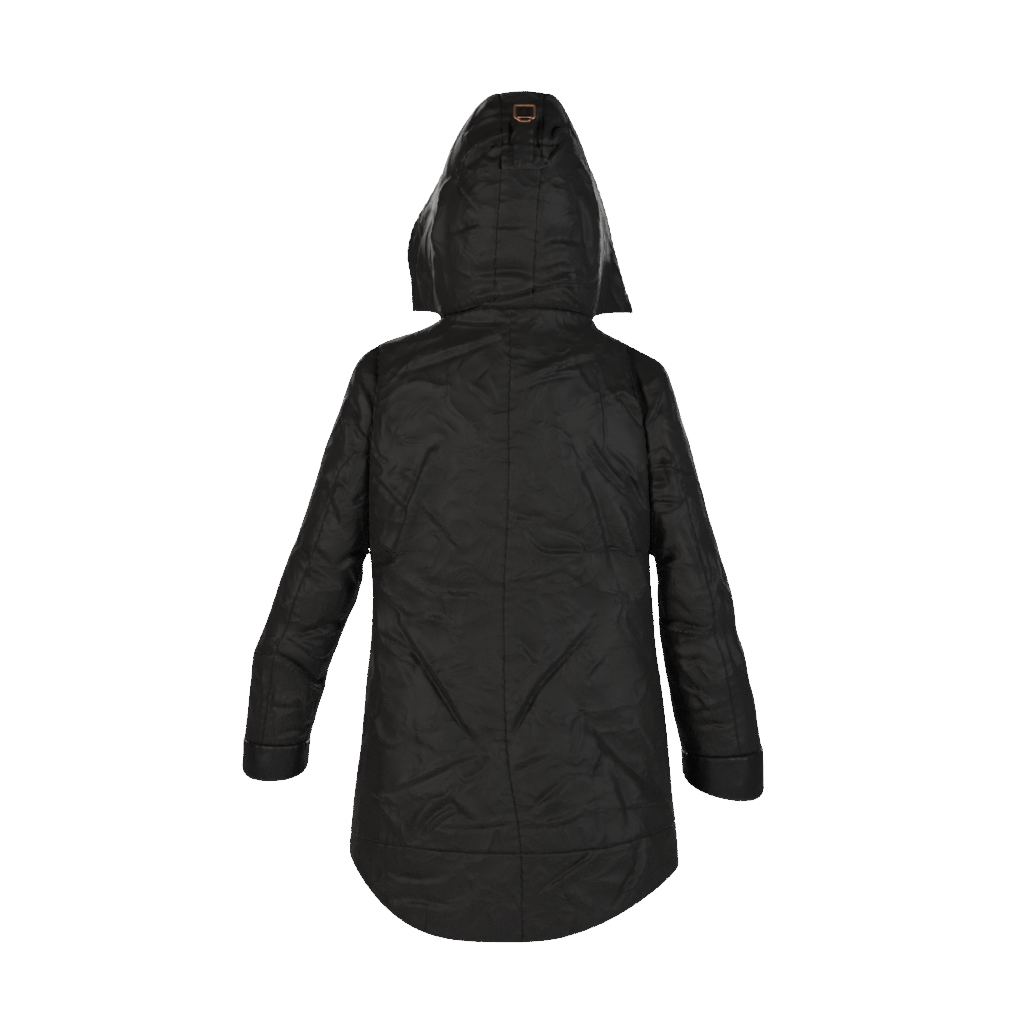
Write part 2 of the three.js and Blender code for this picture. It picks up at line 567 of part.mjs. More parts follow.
function hoodSide(side, table) {
  const outer = makeGrid(HOOD_ROWS, HOOD_COLUMNS, (i, j) => {
    const p = hoodSidePoint(side, table, (i * LAST_RIB) / HOOD_ROWS, j / HOOD_COLUMNS);
    if (j === 0) p.x += side * HALF_GAP;
    if (i === 0) p.z += NECK_SEAM_LIFT;
    return p;
  });
  const normals = gridNormals(outer, HOOD_MIDDLE, { first: "x", top: "z" });
  add(`hood_${sideName(side)}`, wallGeometry(outer, moved(outer, normals, -WALL)));
}

// A point of the centre panel, which swells between its two seams.
function hoodCentrePoint(rib, x) {
  const left = followRows(HOOD_PROFILE, "left", rib);
  const right = -followRows(HOOD_PROFILE, "right", rib);
  const t = (left - x) / (left - right);
  return profilePoint(rib, x).addScaledVector(profileNormal(rib), HOOD_CROWN * 4 * t * (1 - t));
}

function profileNormal(rib) {
  const step = 0.1;
  const before = profilePoint(Math.max(rib - step, 0), 0);
  const ahead = profilePoint(Math.min(rib + step, LAST_RIB), 0).sub(before);
  return new THREE.Vector3(0, ahead.z, -ahead.y).normalize();
}

function hoodCentre() {
  const outer = makeGrid(HOOD_ROWS, HOOD_CENTRE_COLUMNS, (i, j) => {
    const rib = (i * LAST_RIB) / HOOD_ROWS;
    const left = followRows(HOOD_PROFILE, "left", rib) - HALF_GAP;
    const right = -followRows(HOOD_PROFILE, "right", rib) + HALF_GAP;
    const p = hoodCentrePoint(rib, left + ((right - left) * j) / HOOD_CENTRE_COLUMNS);
    if (i === 0) p.z += NECK_SEAM_LIFT;
    return p;
  });
  const normals = gridNormals(outer, HOOD_MIDDLE, { first: "x", last: "x", top: "z" });
  add("hood_centre", wallGeometry(outer, moved(outer, normals, -WALL)));
}

// A point anywhere on the back of the hood, on the centre panel or just past its right seam.
function hoodBackPoint(rib, x) {
  const seam = -followRows(HOOD_PROFILE, "right", rib);
  if (x >= seam) return hoodCentrePoint(rib, x);
  let low = 0;
  let high = 0.5;
  for (let k = 0; k < 20; k += 1) {
    const mid = (low + high) / 2;
    if (hoodSidePoint(RIGHT, RIGHT_HOOD, rib, mid).x > x) low = mid;
    else high = mid;
  }
  return hoodSidePoint(RIGHT, RIGHT_HOOD, rib, low);
}

// A strip lying on the back of the hood, off above it and wall thick.
function hoodStrip(name, surface, piece) {
  const normals = gridNormals(surface, HOOD_MIDDLE);
  const outer = moved(surface, normals, piece.off + piece.wall);
  add(name, wallGeometry(outer, moved(surface, normals, piece.off)));
}

function strapStrip(name, piece) {
  const across = [-0.5, 0, 0.5].map((share) => piece.middle - piece.width * share);
  hoodStrip(name, piece.ribs.map((rib) => across.map((x) => hoodCentrePoint(rib, x))), piece);
}

// The tab lies across under the strap, square at one end and pointed at the other.
function strapTab() {
  const surface = [-1, 0, 1].map((level) =>
    Array.from({ length: TAB.columns + 1 }, (_, j) => {
      const x = TAB.inner + ((TAB.outer - TAB.inner) * j) / TAB.columns;
      const taper = THREE.MathUtils.clamp((x - TAB.outer) / (TAB.point - TAB.outer), TAB.tip, 1);
      return hoodBackPoint(TAB.mid + level * TAB.half * Math.sqrt(taper), x);
    }),
  );
  hoodStrip("strap_tab", surface, TAB);
}

function roundedRectangle(shape, halfWidth, halfHeight, radius) {
  shape.moveTo(-halfWidth + radius, -halfHeight);
  shape.lineTo(halfWidth - radius, -halfHeight);
  shape.quadraticCurveTo(halfWidth, -halfHeight, halfWidth, -halfHeight + radius);
  shape.lineTo(halfWidth, halfHeight - radius);
  shape.quadraticCurveTo(halfWidth, halfHeight, halfWidth - radius, halfHeight);
  shape.lineTo(-halfWidth + radius, halfHeight);
  shape.quadraticCurveTo(-halfWidth, halfHeight, -halfWidth, halfHeight - radius);
  shape.lineTo(-halfWidth, -halfHeight + radius);
  shape.quadraticCurveTo(-halfWidth, -halfHeight, -halfWidth + radius, -halfHeight);
  return shape;
}

// The buckle is a flat metal frame that lies on the crown, its lower bar on the strap's end.
function buckle() {
  const { width, height, bar, wall, rib, facing, corner, off } = BUCKLE;
  const frame = roundedRectangle(new THREE.Shape(), width / 2, height / 2, corner);
  const hole = roundedRectangle(new THREE.Path(), width / 2 - bar, height / 2 - bar, corner - bar / 2);
  frame.holes.push(hole);
  const geometry = new THREE.ExtrudeGeometry(frame, { depth: wall, bevelEnabled: false, curveSegments: 4 });
  const out = profileNormal(facing);
  const across = new THREE.Vector3(-1, 0, 0);
  const up = new THREE.Vector3().crossVectors(out, across);
  const place = profilePoint(rib, STRAP.middle).addScaledVector(out, off);
  geometry.applyMatrix4(new THREE.Matrix4().makeBasis(across, up, out).setPosition(place));
  add("strap_buckle", geometry, METAL);
}

// The stand collar is sewn just inside the neck edge and open at the centre front.
function collar() {
  const turns = [];
  const quarter = (side, face, from, to) => {
    for (let k = 0; k < COLLAR.steps; k += 1) {
      turns.push({ side, face, t: from + ((to - from) * k) / COLLAR.steps });
    }
  };
  quarter(LEFT, FRONT, COLLAR.opening, 1);
  quarter(LEFT, BACK, 1, 0);
  quarter(RIGHT, BACK, 0, 1);
  quarter(RIGHT, FRONT, 1, COLLAR.opening);
  turns.push({ side: RIGHT, face: FRONT, t: COLLAR.opening });
  const neck = BODY_SECTIONS[0].z;
  const layer = (inset) =>
    Array.from({ length: COLLAR.rows + 1 }, (_, i) =>
      turns.map(({ side, face, t }) => {
        const p = bodyPoint(side, face, neck, t, neckLift(face, neck, t));
        const share = i / COLLAR.rows;
        const shrink = 1 - (inset + COLLAR.lean * share) / Math.hypot(p.x, p.y);
        const rise = (COLLAR.height + COLLAR.below) * share - COLLAR.below;
        return new THREE.Vector3(p.x * shrink, p.y * shrink, p.z + rise);
      }),
    );
  add("collar", wallGeometry(layer(COLLAR.inset), layer(COLLAR.inset + COLLAR.wall)));
}

// A point of one row of a front panel or band at a distance from the centre seam, on its flat facets.
function frontRowPoint(side, across, pointAt) {
  let j = 0;
  while (Math.abs(pointAt(j + 1).x - pointAt(0).x) < across) j += 1;
  const [near, far] = [pointAt(j), pointAt(j + 1)];
  const start = Math.abs(near.x - pointAt(0).x);
  const share = (across - start) / (Math.abs(far.x - pointAt(0).x) - start);
  return near.lerp(far, share);
}

// The placket covers the centre front from the neck edge to the hem, laid on both fronts.
function placket() {
  const bodyRows = UPPER_ROWS.length - 1 + ROWS_BELOW_ARMHOLE;
  const surface = Array.from({ length: bodyRows + HEM_ROWS + 1 }, (_, i) =>
    Array.from({ length: PLACKET.columns + 1 }, (_, k) => {
      const x = PLACKET.halfWidth * (1 - (2 * k) / PLACKET.columns);
      const side = x < 0 ? RIGHT : LEFT;
      const pointAt = (j) =>
        i <= bodyRows ? bodyGridPoint(side, FRONT, i, j) : hemGridPoint(side, FRONT, i - bodyRows, j);
      return frontRowPoint(side, Math.abs(x), pointAt);
    }),
  );
  const normals = gridNormals(surface, BODY_MIDDLE);
  const outer = moved(surface, normals, PLACKET.off + PLACKET.wall);
  add("placket", wallGeometry(outer, moved(surface, normals, PLACKET.off)));
}

garment.name = "parka";
for (const side of [LEFT, RIGHT]) {
  for (const face of [BACK, FRONT]) {
    bodyPanel(side, face);
    hemBand(side, face);
  }
}
sleeve(LEFT, LEFT_SLEEVE, LEFT_SLEEVE_FOLDS);
sleeve(RIGHT, RIGHT_SLEEVE, RIGHT_SLEEVE_FOLDS);
cuff(LEFT, LEFT_CUFF);
cuff(RIGHT, RIGHT_CUFF);
hoodSide(LEFT, LEFT_HOOD);
hoodSide(RIGHT, RIGHT_HOOD);
hoodCentre();
collar();
placket();
strapTab();
strapStrip("hood_strap", STRAP);
strapStrip("strap_keeper", KEEPER);
buckle();

export default garment;
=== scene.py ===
import math

import bmesh
import bpy
import numpy as np
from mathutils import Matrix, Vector, noise
from mathutils.bvhtree import BVHTree
from mathutils.kdtree import KDTree


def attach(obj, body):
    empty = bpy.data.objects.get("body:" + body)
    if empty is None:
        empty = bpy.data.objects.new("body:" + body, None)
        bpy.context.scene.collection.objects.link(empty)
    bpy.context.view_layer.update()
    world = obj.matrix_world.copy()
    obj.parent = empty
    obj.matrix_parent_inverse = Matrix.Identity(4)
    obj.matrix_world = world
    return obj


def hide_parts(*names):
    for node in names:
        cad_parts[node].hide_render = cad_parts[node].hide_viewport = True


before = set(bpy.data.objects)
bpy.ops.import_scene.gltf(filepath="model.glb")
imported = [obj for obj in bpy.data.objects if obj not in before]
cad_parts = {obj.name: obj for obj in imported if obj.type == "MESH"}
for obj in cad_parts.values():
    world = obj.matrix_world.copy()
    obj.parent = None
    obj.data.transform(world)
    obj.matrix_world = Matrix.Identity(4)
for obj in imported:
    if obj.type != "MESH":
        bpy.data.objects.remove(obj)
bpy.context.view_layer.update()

MM = 0.001
CLOTH_THICKNESS = 2.2 * MM

# The camera stands level behind the coat, as in the photograph.
VIEW_CENTRE = Vector((5.4, 0, -254)) * MM
VIEW_HEIGHT = 1392.6 * MM  # what the whole picture spans at the coat
CAMERA_DISTANCE = 8.0
SENSOR = 36.0
FAR_CLIP = 60

# The flat cut of each piece: width and length of its rectangle and its own area, in metres.
CUTS = {
    "back_left": (0.27, 0.76, 0.175),
    "back_right": (0.26, 0.76, 0.165),
    "front_left": (0.28, 0.70, 0.175),
    "front_right": (0.27, 0.70, 0.165),
    "placket": (0.06, 0.71, 0.042),
    "hem_back_left": (0.28, 0.155, 0.026),
    "hem_back_right": (0.27, 0.17, 0.027),
    "hem_front_left": (0.27, 0.065, 0.0125),
    "hem_front_right": (0.26, 0.08, 0.0135),
    "sleeve_left_back": (0.21, 0.42, 0.062),
    "sleeve_left_front": (0.29, 0.58, 0.115),
    "sleeve_right_back": (0.21, 0.44, 0.064),
    "sleeve_right_front": (0.29, 0.60, 0.12),
    "cuff_left": (0.34, 0.045, 0.0135),
    "cuff_right": (0.37, 0.06, 0.0175),
    "collar": (0.56, 0.052, 0.0285),
    "hood_centre": (0.075, 0.46, 0.026),
    "hood_left": (0.30, 0.42, 0.082),
    "hood_right": (0.30, 0.42, 0.083),
    "hood_strap": (0.0225, 0.072, 0.00155),
    "strap_keeper": (0.025, 0.035, 0.00075),
    "strap_tab": (0.02, 0.065, 0.00105),
}
STRIPS = ("hood_strap", "strap_keeper", "strap_tab")
STRIP_THICKNESS = 1.6 * MM
STRIP_LIFT = 1.6  # how far a strip stands off its solid's place, in millimetres
FINE = 3  # subdivisions of a piece
PLAIN = 2  # and of the pieces in COARSE, which the photograph doesn't show
COARSE = ("collar", "placket", "front_left", "front_right")

# Creases on the back or the front of the coat, in millimetres: the points (x, z) that each runs
# through, its width, its height (a furrow where negative) and how much of a trough lies beside it,
# to the left of its course, or to the right where negative.
BODY_BACK = [
    {"through": ((113, -175), (137, -237), (147, -271), (163, -312)),
     "width": 9, "rise": 4.0, "beside": 0.6},
    {"through": ((163, -312), (178, -350), (186, -405), (190, -470)),
     "width": 8, "rise": 3.4, "beside": 0.5},
    {"through": ((196, -328), (178, -324), (160, -318)), "width": 5, "rise": -4.0, "beside": 0.5},
    {"through": ((-143, -258), (-154, -300), (-167, -340), (-180, -374)),
     "width": 8, "rise": 4.2, "beside": -0.6},
    {"through": ((159, -60), (80, -34), (23, -14)), "width": 8, "rise": 2.2, "beside": 0.6},
    {"through": ((95, 6), (60, 2), (23, 1)), "width": 6, "rise": -1.8, "beside": 0.4},
    {"through": ((1, -78), (-53, -57), (-110, -37)), "width": 7, "rise": 2.0, "beside": 0.6},
    {"through": ((1, -86), (-45, -69), (-82, -64)), "width": 6, "rise": 1.6, "beside": 0.6},
    {"through": ((154, -402), (128, -439), (94, -491), (68, -534), (46, -566)),
     "width": 9, "rise": 3.4, "beside": 0.8},
    {"through": ((-98, -400), (-64, -439), (-27, -480), (1, -528), (27, -590)),
     "width": 9, "rise": 3.2, "beside": -0.8},
    {"through": ((180, -413), (158, -425), (139, -437)), "width": 7, "rise": 2.0, "beside": 0.7},
    {"through": ((1, -420), (-18, -440), (-35, -461)), "width": 9, "rise": -2.0, "beside": 0.5},
    {"through": ((-90, -524), (-84, -555), (-76, -586)), "width": 7, "rise": 2.2, "beside": 0.7},
    {"through": ((-116, -579), (-110, -597), (-105, -612)),
     "width": 7, "rise": -2.0, "beside": 0.6},
    {"through": ((10, -598), (-14, -586), (-38, -574)), "width": 8, "rise": 2.0, "beside": 0.7},
    {"through": ((143, -687), (117, -653), (87, -631)), "width": 9, "rise": 2.6, "beside": 0.7},
    {"through": ((87, -631), (68, -650), (50, -668)), "width": 8, "rise": 2.2, "beside": 0.7},
    {"through": ((-20, -664), (-46, -640), (-72, -616)), "width": 9, "rise": 2.4, "beside": -0.7},
    {"through": ((-98, -532), (-150, -585), (-201, -638)),
     "width": 22, "rise": -4.0, "beside": 0.5},
    {"through": ((194, -631), (184, -636), (174, -642)), "width": 6, "rise": 1.8, "beside": 0.7},
    {"through": ((152, -329), (110, -356), (52, -359)), "width": 11, "rise": -1.8, "beside": 0.5},
    {"through": ((-146, -46), (-157, -85), (-173, -125)), "width": 7, "rise": -3.2, "beside": 0.6},
    {"through": ((-126, -100), (-144, -94), (-160, -114), (-178, -139)),
     "width": 6, "rise": 2.6, "beside": 0.6},
    {"through": ((-117, -164), (-114, -114), (-106, -71)), "width": 4, "rise": 1.6, "beside": 0.6},
    {"through": ((-96, -159), (-124, -200), (-150, -226)), "width": 5, "rise": 2.6, "beside": 0.8},
    {"through": ((-124, -168), (-153, -197), (-178, -251)), "width": 5, "rise": 2.2, "beside": 0.7},
    {"through": ((-87, -190), (-106, -226), (-121, -276), (-135, -341)),
     "width": 12, "rise": -2.6, "beside": 0.6},
    {"through": ((30, -249), (-6, -260), (-45, -263)), "width": 6, "rise": -1.8, "beside": 0.6},
    {"through": ((-13, -276), (-35, -303), (-71, -305), (-92, -306)),
     "width": 6, "rise": -2.2, "beside": 0.6},
    {"through": ((-42, -276), (-81, -287), (-106, -315)), "width": 7, "rise": -1.6, "beside": 0.5},
    {"through": ((124, -247), (98, -272), (73, -305)), "width": 5, "rise": 1.7, "beside": 0.7},
    {"through": ((106, -258), (88, -283), (66, -297)), "width": 4, "rise": -1.2, "beside": 0.6},
    {"through": ((194, -197), (170, -222), (145, -251)), "width": 6, "rise": 2, "beside": 0.7},
    {"through": ((194, -276), (181, -294), (167, -308)), "width": 6, "rise": 2.4, "beside": 0.7},
    {"through": ((23, -346), (-20, -341), (-63, -330)), "width": 5, "rise": 1.5, "beside": 0.6},
    {"through": ((-63, -330), (-78, -337), (-92, -351)), "width": 5, "rise": 1.4, "beside": 0.6},
    {"through": ((59, -85), (46, -94), (37, -107)), "width": 5, "rise": 1.5, "beside": 0.6},
    {"through": ((34, -75), (28, -89), (23, -103)), "width": 4, "rise": 1.3, "beside": 0.6},
    {"through": ((52, -78), (41, -64), (37, -57)), "width": 4, "rise": -1.3, "beside": 0.5},
    {"through": ((188, -154), (181, -175), (167, -182)), "width": 6, "rise": 1.2, "beside": 0.6},
    {"through": ((1, -182), (-20, -204), (-27, -226)), "width": 9, "rise": -0.9, "beside": 0.4},
    {"through": ((-94, -476), (-105, -461), (-116, -450)), "width": 5, "rise": 1.6, "beside": 0.7},
    {"through": ((-164, -539), (-186, -583), (-205, -627)), "width": 7, "rise": 2, "beside": 0.6},
    {"through": ((192, -524), (183, -557), (168, -568)), "width": 5, "rise": 1.8, "beside": 0.7},
    {"through": ((172, -627), (131, -611), (87, -589), (43, -574)),
     "width": 6, "rise": 1.7, "beside": 0.6},
    {"through": ((131, -688), (98, -661), (72, -650)), "width": 5, "rise": 1.8, "beside": 0.7},
    {"through": ((76, -602), (68, -613), (46, -602), (31, -583)),
     "width": 5, "rise": 1.5, "beside": 0.6},
    {"through": ((98, -672), (54, -672), (17, -668), (-13, -664)),
     "width": 5, "rise": 1.6, "beside": 0.7},
    {"through": ((-17, -672), (-61, -668), (-90, -653)), "width": 5, "rise": 1.8, "beside": 0.7},
    {"through": ((-109, -653), (-113, -686), (-101, -716), (-72, -738), (-35, -764)),
     "width": 6, "rise": 2.2, "beside": 0.7},
    {"through": ((-172, -701), (-168, -731), (-153, -757), (-135, -790)),
     "width": 7, "rise": 2.4, "beside": 0.7},
    {"through": ((-68, -738), (-72, -764), (-87, -782)), "width": 6, "rise": 2, "beside": 0.7},
    {"through": ((-61, -830), (-68, -812), (-79, -790)), "width": 6, "rise": 1.6, "beside": 0.6},
    {"through": ((175, -738), (131, -745), (98, -742)), "width": 8, "rise": -1.6, "beside": 0.5},
    {"through": ((175, -771), (131, -775), (87, -779)), "width": 9, "rise": -1.4, "beside": 0.5},
    {"through": ((-138, -650), (-172, -646), (-201, -646)), "width": 5, "rise": 1.4, "beside": 0.6},
    {"through": ((-120, -583), (-138, -613), (-153, -664), (-149, -679)),
     "width": 12, "rise": -2, "beside": 0.5},
    {"through": ((142, -395), (113, -391), (76, -398)), "width": 8, "rise": -1.2, "beside": 0.5},
    {"through": ((68, -421), (46, -458), (31, -502)), "width": 9, "rise": 1, "beside": 0.5},
    {"through": ((161, -446), (142, -469), (131, -502)), "width": 10, "rise": -0.77, "beside": 0.5},
    {"through": ((87, -805), (61, -790), (46, -760)), "width": 9, "rise": 1.2, "beside": 0.5},
]
BODY_FRONT = [
    {"through": ((120, -180), (146, -250), (160, -330)), "width": 9, "rise": 3.6, "beside": -0.6},
    {"through": ((-118, -190), (-140, -262), (-158, -335)), "width": 9, "rise": 3.4, "beside": 0.6},
    {"through": ((150, -395), (108, -470), (62, -560)), "width": 10, "rise": 3.0, "beside": 0.7},
    {"through": ((-150, -420), (-110, -500), (-60, -590)), "width": 10, "rise": 3.0, "beside": -0.7},
    {"through": ((188, -310), (164, -322), (138, -345)), "width": 7, "rise": -3.0, "beside": 0.6},
    {"through": ((-176, -306), (-150, -322), (-124, -350)), "width": 7, "rise": -3.0, "beside": 0.6},
    {"through": ((40, -120), (90, -150), (150, -160)), "width": 9, "rise": 1.8, "beside": 0.6},
    {"through": ((-36, -140), (-84, -160), (-130, -156)), "width": 9, "rise": 1.6, "beside": 0.6},
    {"through": ((40, -400), (90, -388), (140, -360)), "width": 9, "rise": -1.8, "beside": 0.5},
    {"through": ((-44, -640), (-100, -610), (-160, -620)), "width": 12, "rise": 2.2, "beside": 0.6},
    {"through": ((60, -650), (110, -668), (170, -640)), "width": 12, "rise": 2.2, "beside": 0.6},
]
LEFT_SLEEVE_BACK = [
    {"through": ((262, -190), (244, -232), (232, -268)), "width": 9, "rise": 2.6, "beside": 0.6},
    {"through": ((296, -300), (270, -330), (240, -350)), "width": 9, "rise": -2.6, "beside": 0.6},
    {"through": ((350, -500), (318, -512), (288, -510)), "width": 8, "rise": 2.2, "beside": 0.6},
    {"through": ((224, -90), (222, -140), (216, -180)), "width": 10, "rise": -2.2, "beside": 0.5},
    {"through": ((212, -65), (197, -96), (190, -123)), "width": 8, "rise": -2.8, "beside": 0.6},
    {"through": ((223, -105), (210, -137), (197, -155)), "width": 7, "rise": -2.8, "beside": 0.6},
    {"through": ((235, -114), (228, -137), (226, -159)), "width": 6, "rise": 2, "beside": 0.6},
    {"through": ((264, -219), (241, -213), (227, -225)), "width": 5, "rise": -2, "beside": 0.6},
    {"through": ((223, -244), (212, -239), (205, -231)), "width": 5, "rise": -2.6, "beside": 0.6},
    {"through": ((268, -275), (259, -264), (249, -257)), "width": 5, "rise": 1.6, "beside": 0.6},
    {"through": ((241, -330), (219, -313), (199, -311)), "width": 5, "rise": -3.2, "beside": 0.7},
    {"through": ((219, -325), (214, -338), (209, -354)), "width": 6, "rise": -2.8, "beside": 0.6},
    {"through": ((291, -419), (264, -414), (235, -404)), "width": 5, "rise": -3.6, "beside": 0.8},
    {"through": ((308, -423), (286, -436), (268, -449), (255, -445)),
     "width": 5, "rise": 2.4, "beside": 0.7},
    {"through": ((349, -442), (317, -452), (291, -468), (268, -488), (255, -473)),
     "width": 5, "rise": -4.2, "beside": 0.8},
    {"through": ((353, -468), (341, -490), (345, -526)), "width": 5, "rise": 1.8, "beside": 0.6},
    {"through": ((335, -486), (332, -517), (336, -548)), "width": 4, "rise": -1.6, "beside": 0.6},
    {"through": ((304, -463), (288, -501), (283, -535)), "width": 7, "rise": 1.6, "beside": 0.6},
    {"through": ((286, -293), (259, -307), (241, -329)), "width": 8, "rise": 1.6, "beside": 0.6},
    {"through": ((317, -374), (304, -387), (286, -396)), "width": 6, "rise": 1.6, "beside": 0.6},
    {"through": ((282, -347), (259, -354), (241, -351)), "width": 6, "rise": -1.4, "beside": 0.6},
    {"through": ((326, -559), (304, -553), (284, -551)), "width": 5, "rise": -1.4, "beside": 0.6},
]
RIGHT_SLEEVE_BACK = [
    {"through": ((-196, -138), (-206, -190), (-216, -236)), "width": 9, "rise": 2.4, "beside": 0.6},
    {"through": ((-226, -270), (-244, -310), (-258, -356)), "width": 9, "rise": 2.2, "beside": 0.6},
    {"through": ((-214, -446), (-240, -482), (-262, -520)), "width": 8, "rise": 2.2, "beside": 0.6},
    {"through": ((-276, -392), (-290, -430), (-300, -470)), "width": 8, "rise": -2.0, "beside": 0.6},
    {"through": ((-150, -47), (-161, -88), (-170, -128)), "width": 7, "rise": -3, "beside": 0.6},
    {"through": ((-173, -142), (-184, -124), (-194, -97)), "width": 5, "rise": 2.4, "beside": 0.7},
    {"through": ((-182, -193), (-204, -191), (-232, -201)), "width": 5, "rise": -3.2, "beside": 0.7},
    {"through": ((-182, -213), (-191, -216), (-202, -213)), "width": 9, "rise": -4, "beside": 0.3},
    {"through": ((-182, -237), (-202, -237), (-222, -240)), "width": 4, "rise": 2.8, "beside": 0.8},
    {"through": ((-186, -255), (-204, -252), (-220, -244)), "width": 5, "rise": 1.6, "beside": 0.6},
    {"through": ((-179, -331), (-200, -322), (-218, -315)), "width": 5, "rise": -3, "beside": 0.7},
    {"through": ((-193, -402), (-217, -407), (-240, -412), (-256, -414)),
     "width": 5, "rise": -4.4, "beside": 0.9},
    {"through": ((-231, -463), (-244, -454), (-258, -463)), "width": 4, "rise": -2.2, "beside": 0.6},
    {"through": ((-218, -474), (-232, -487), (-249, -497), (-271, -514)),
     "width": 6, "rise": -2.2, "beside": 0.6},
    {"through": ((-222, -514), (-244, -519), (-285, -510)), "width": 7, "rise": 1.8, "beside": 0.6},
    {"through": ((-244, -546), (-267, -543), (-287, -544)), "width": 5, "rise": -2.6, "beside": 0.7},
    {"through": ((-271, -344), (-287, -370), (-290, -397)), "width": 4, "rise": 2.2, "beside": 0.7},
    {"through": ((-262, -308), (-271, -335), (-269, -362)), "width": 5, "rise": 1.8, "beside": 0.6},
    {"through": ((-276, -370), (-271, -402), (-283, -429)), "width": 5, "rise": 1.8, "beside": 0.6},
    {"through": ((-186, -310), (-200, -301), (-215, -300)), "width": 6, "rise": 1.4, "beside": 0.6},
    {"through": ((-294, -424), (-303, -447), (-312, -474)), "width": 6, "rise": 1.6, "beside": 0.6},
    {"through": ((-200, -362), (-222, -370), (-244, -393)), "width": 8, "rise": 1.6, "beside": 0.5},
    {"through": ((-208, -433), (-226, -447), (-249, -447)), "width": 7, "rise": 1.6, "beside": 0.6},
]
LEFT_SLEEVE_FRONT = [
    {"through": ((340, -430), (300, -440), (256, -452)), "width": 7, "rise": -4.0, "beside": 0.7},
    {"through": ((330, -396), (292, -414), (250, -420)), "width": 7, "rise": 3.0, "beside": 0.6},
    {"through": ((258, -170), (236, -226), (222, -280)), "width": 9, "rise": 2.6, "beside": 0.6},
    {"through": ((352, -500), (320, -514), (284, -520)), "width": 8, "rise": 2.2, "beside": 0.6},
]
RIGHT_SLEEVE_FRONT = [
    {"through": ((-290, -410), (-250, -424), (-206, -430)), "width": 7, "rise": -4.0, "beside": 0.7},
    {"through": ((-280, -372), (-246, -392), (-204, -400)), "width": 7, "rise": 3.0, "beside": 0.6},
    {"through": ((-226, -150), (-212, -210), (-204, -270)), "width": 9, "rise": 2.6, "beside": 0.6},
    {"through": ((-318, -510), (-280, -524), (-236, -530)), "width": 8, "rise": 2.2, "beside": 0.6},
]
HOOD_BACK = [
    {"through": ((95, 13), (66, 26), (40, 37), (4, 44), (-24, 52), (-60, 59), (-102, 60)),
     "width": 8, "rise": 4.4, "beside": 0.9},
    {"through": ((98, 178), (104, 120), (110, 60), (104, 20)), "width": 6, "rise": 2.6, "beside": 0.7},
    {"through": ((-86, 220), (-104, 160), (-110, 128), (-112, 79)),
     "width": 6, "rise": 2.6, "beside": -0.7},
    {"through": ((126, 120), (132, 80), (128, 40)), "width": 8, "rise": 1.8, "beside": 0.6},
    {"through": ((-124, 100), (-134, 64), (-146, 34)), "width": 8, "rise": 1.8, "beside": 0.6},
    {"through": ((69, 216), (50, 233), (25, 248), (7, 254)), "width": 5, "rise": 3.6, "beside": 0.9},
    {"through": ((35, 240), (20, 241), (3, 242)), "width": 4, "rise": -3, "beside": 0.5},
    {"through": ((-24, 240), (-46, 240), (-61, 242)), "width": 4, "rise": -3.2, "beside": 0.5},
    {"through": ((69, 260), (55, 272), (35, 282), (15, 282)), "width": 6, "rise": -2.8, "beside": 0.6},
    {"through": ((-51, 245), (-51, 258), (-59, 267), (-73, 265), (-78, 255)),
     "width": 5, "rise": -3.4, "beside": 0.8},
    {"through": ((-64, 243), (-56, 231), (-44, 216)), "width": 4, "rise": 2.8, "beside": 0.8},
    {"through": ((79, 201), (67, 174), (52, 150)), "width": 5, "rise": 2.6, "beside": 0.7},
    {"through": ((72, 204), (73, 189), (67, 164)), "width": 4, "rise": 1.6, "beside": 0.6},
    {"through": ((7, 272), (8, 255), (8, 243)), "width": 5, "rise": -2.6, "beside": 0.5},
    {"through": ((-31, 285), (-28, 267), (-26, 250)), "width": 6, "rise": -2.6, "beside": 0.7},
    {"through": ((-29, 250), (-35, 236), (-41, 221)), "width": 5, "rise": 1.8, "beside": 0.6},
    {"through": ((42, 226), (30, 221), (20, 228)), "width": 6, "rise": -2, "beside": 0.6},
    {"through": ((84, 123), (64, 130), (47, 132)), "width": 7, "rise": -2, "beside": 0.6},
    {"through": ((42, 130), (20, 130), (1, 130), (-19, 132)), "width": 8, "rise": -1.3, "beside": 0.5},
    {"through": ((-36, 105), (-58, 113), (-90, 109)), "width": 10, "rise": -2.2, "beside": 0.6},
    {"through": ((-29, 71), (-48, 80), (-66, 83), (-78, 66)), "width": 6, "rise": 1.8, "beside": 0.7},
    {"through": ((55, 66), (30, 67), (1, 68), (-24, 64)), "width": 8, "rise": -3.6, "beside": 0.3},
    {"through": ((-23, 54), (-39, 59), (-56, 66), (-71, 71)), "width": 6, "rise": -2.8, "beside": 0.4},
    {"through": ((-61, 51), (-75, 37), (-93, 24)), "width": 5, "rise": 2.2, "beside": 0.7},
    {"through": ((-63, 35), (-71, 29), (-78, 20)), "width": 5, "rise": 1.6, "beside": 0.6},
    {"through": ((60, 34), (45, 40), (30, 43)), "width": 4, "rise": 1.6, "beside": 0.6},
    {"through": ((121, 83), (114, 69), (123, 49)), "width": 8, "rise": -1.8, "beside": 0.5},
    {"through": ((-132, 93), (-137, 61), (-149, 27)), "width": 6, "rise": 2.4, "beside": 0.6},
    {"through": ((-88, 169), (-98, 130), (-102, 86)), "width": 6, "rise": 2, "beside": 0.7},
    {"through": ((114, 169), (106, 130), (99, 81)), "width": 6, "rise": 2.4, "beside": 0.7},
    {"through": ((87, 194), (101, 179), (105, 150)), "width": 6, "rise": 1.6, "beside": 0.6},
    {"through": ((-88, 209), (-102, 179), (-112, 140)), "width": 6, "rise": 1.8, "beside": 0.6},
]
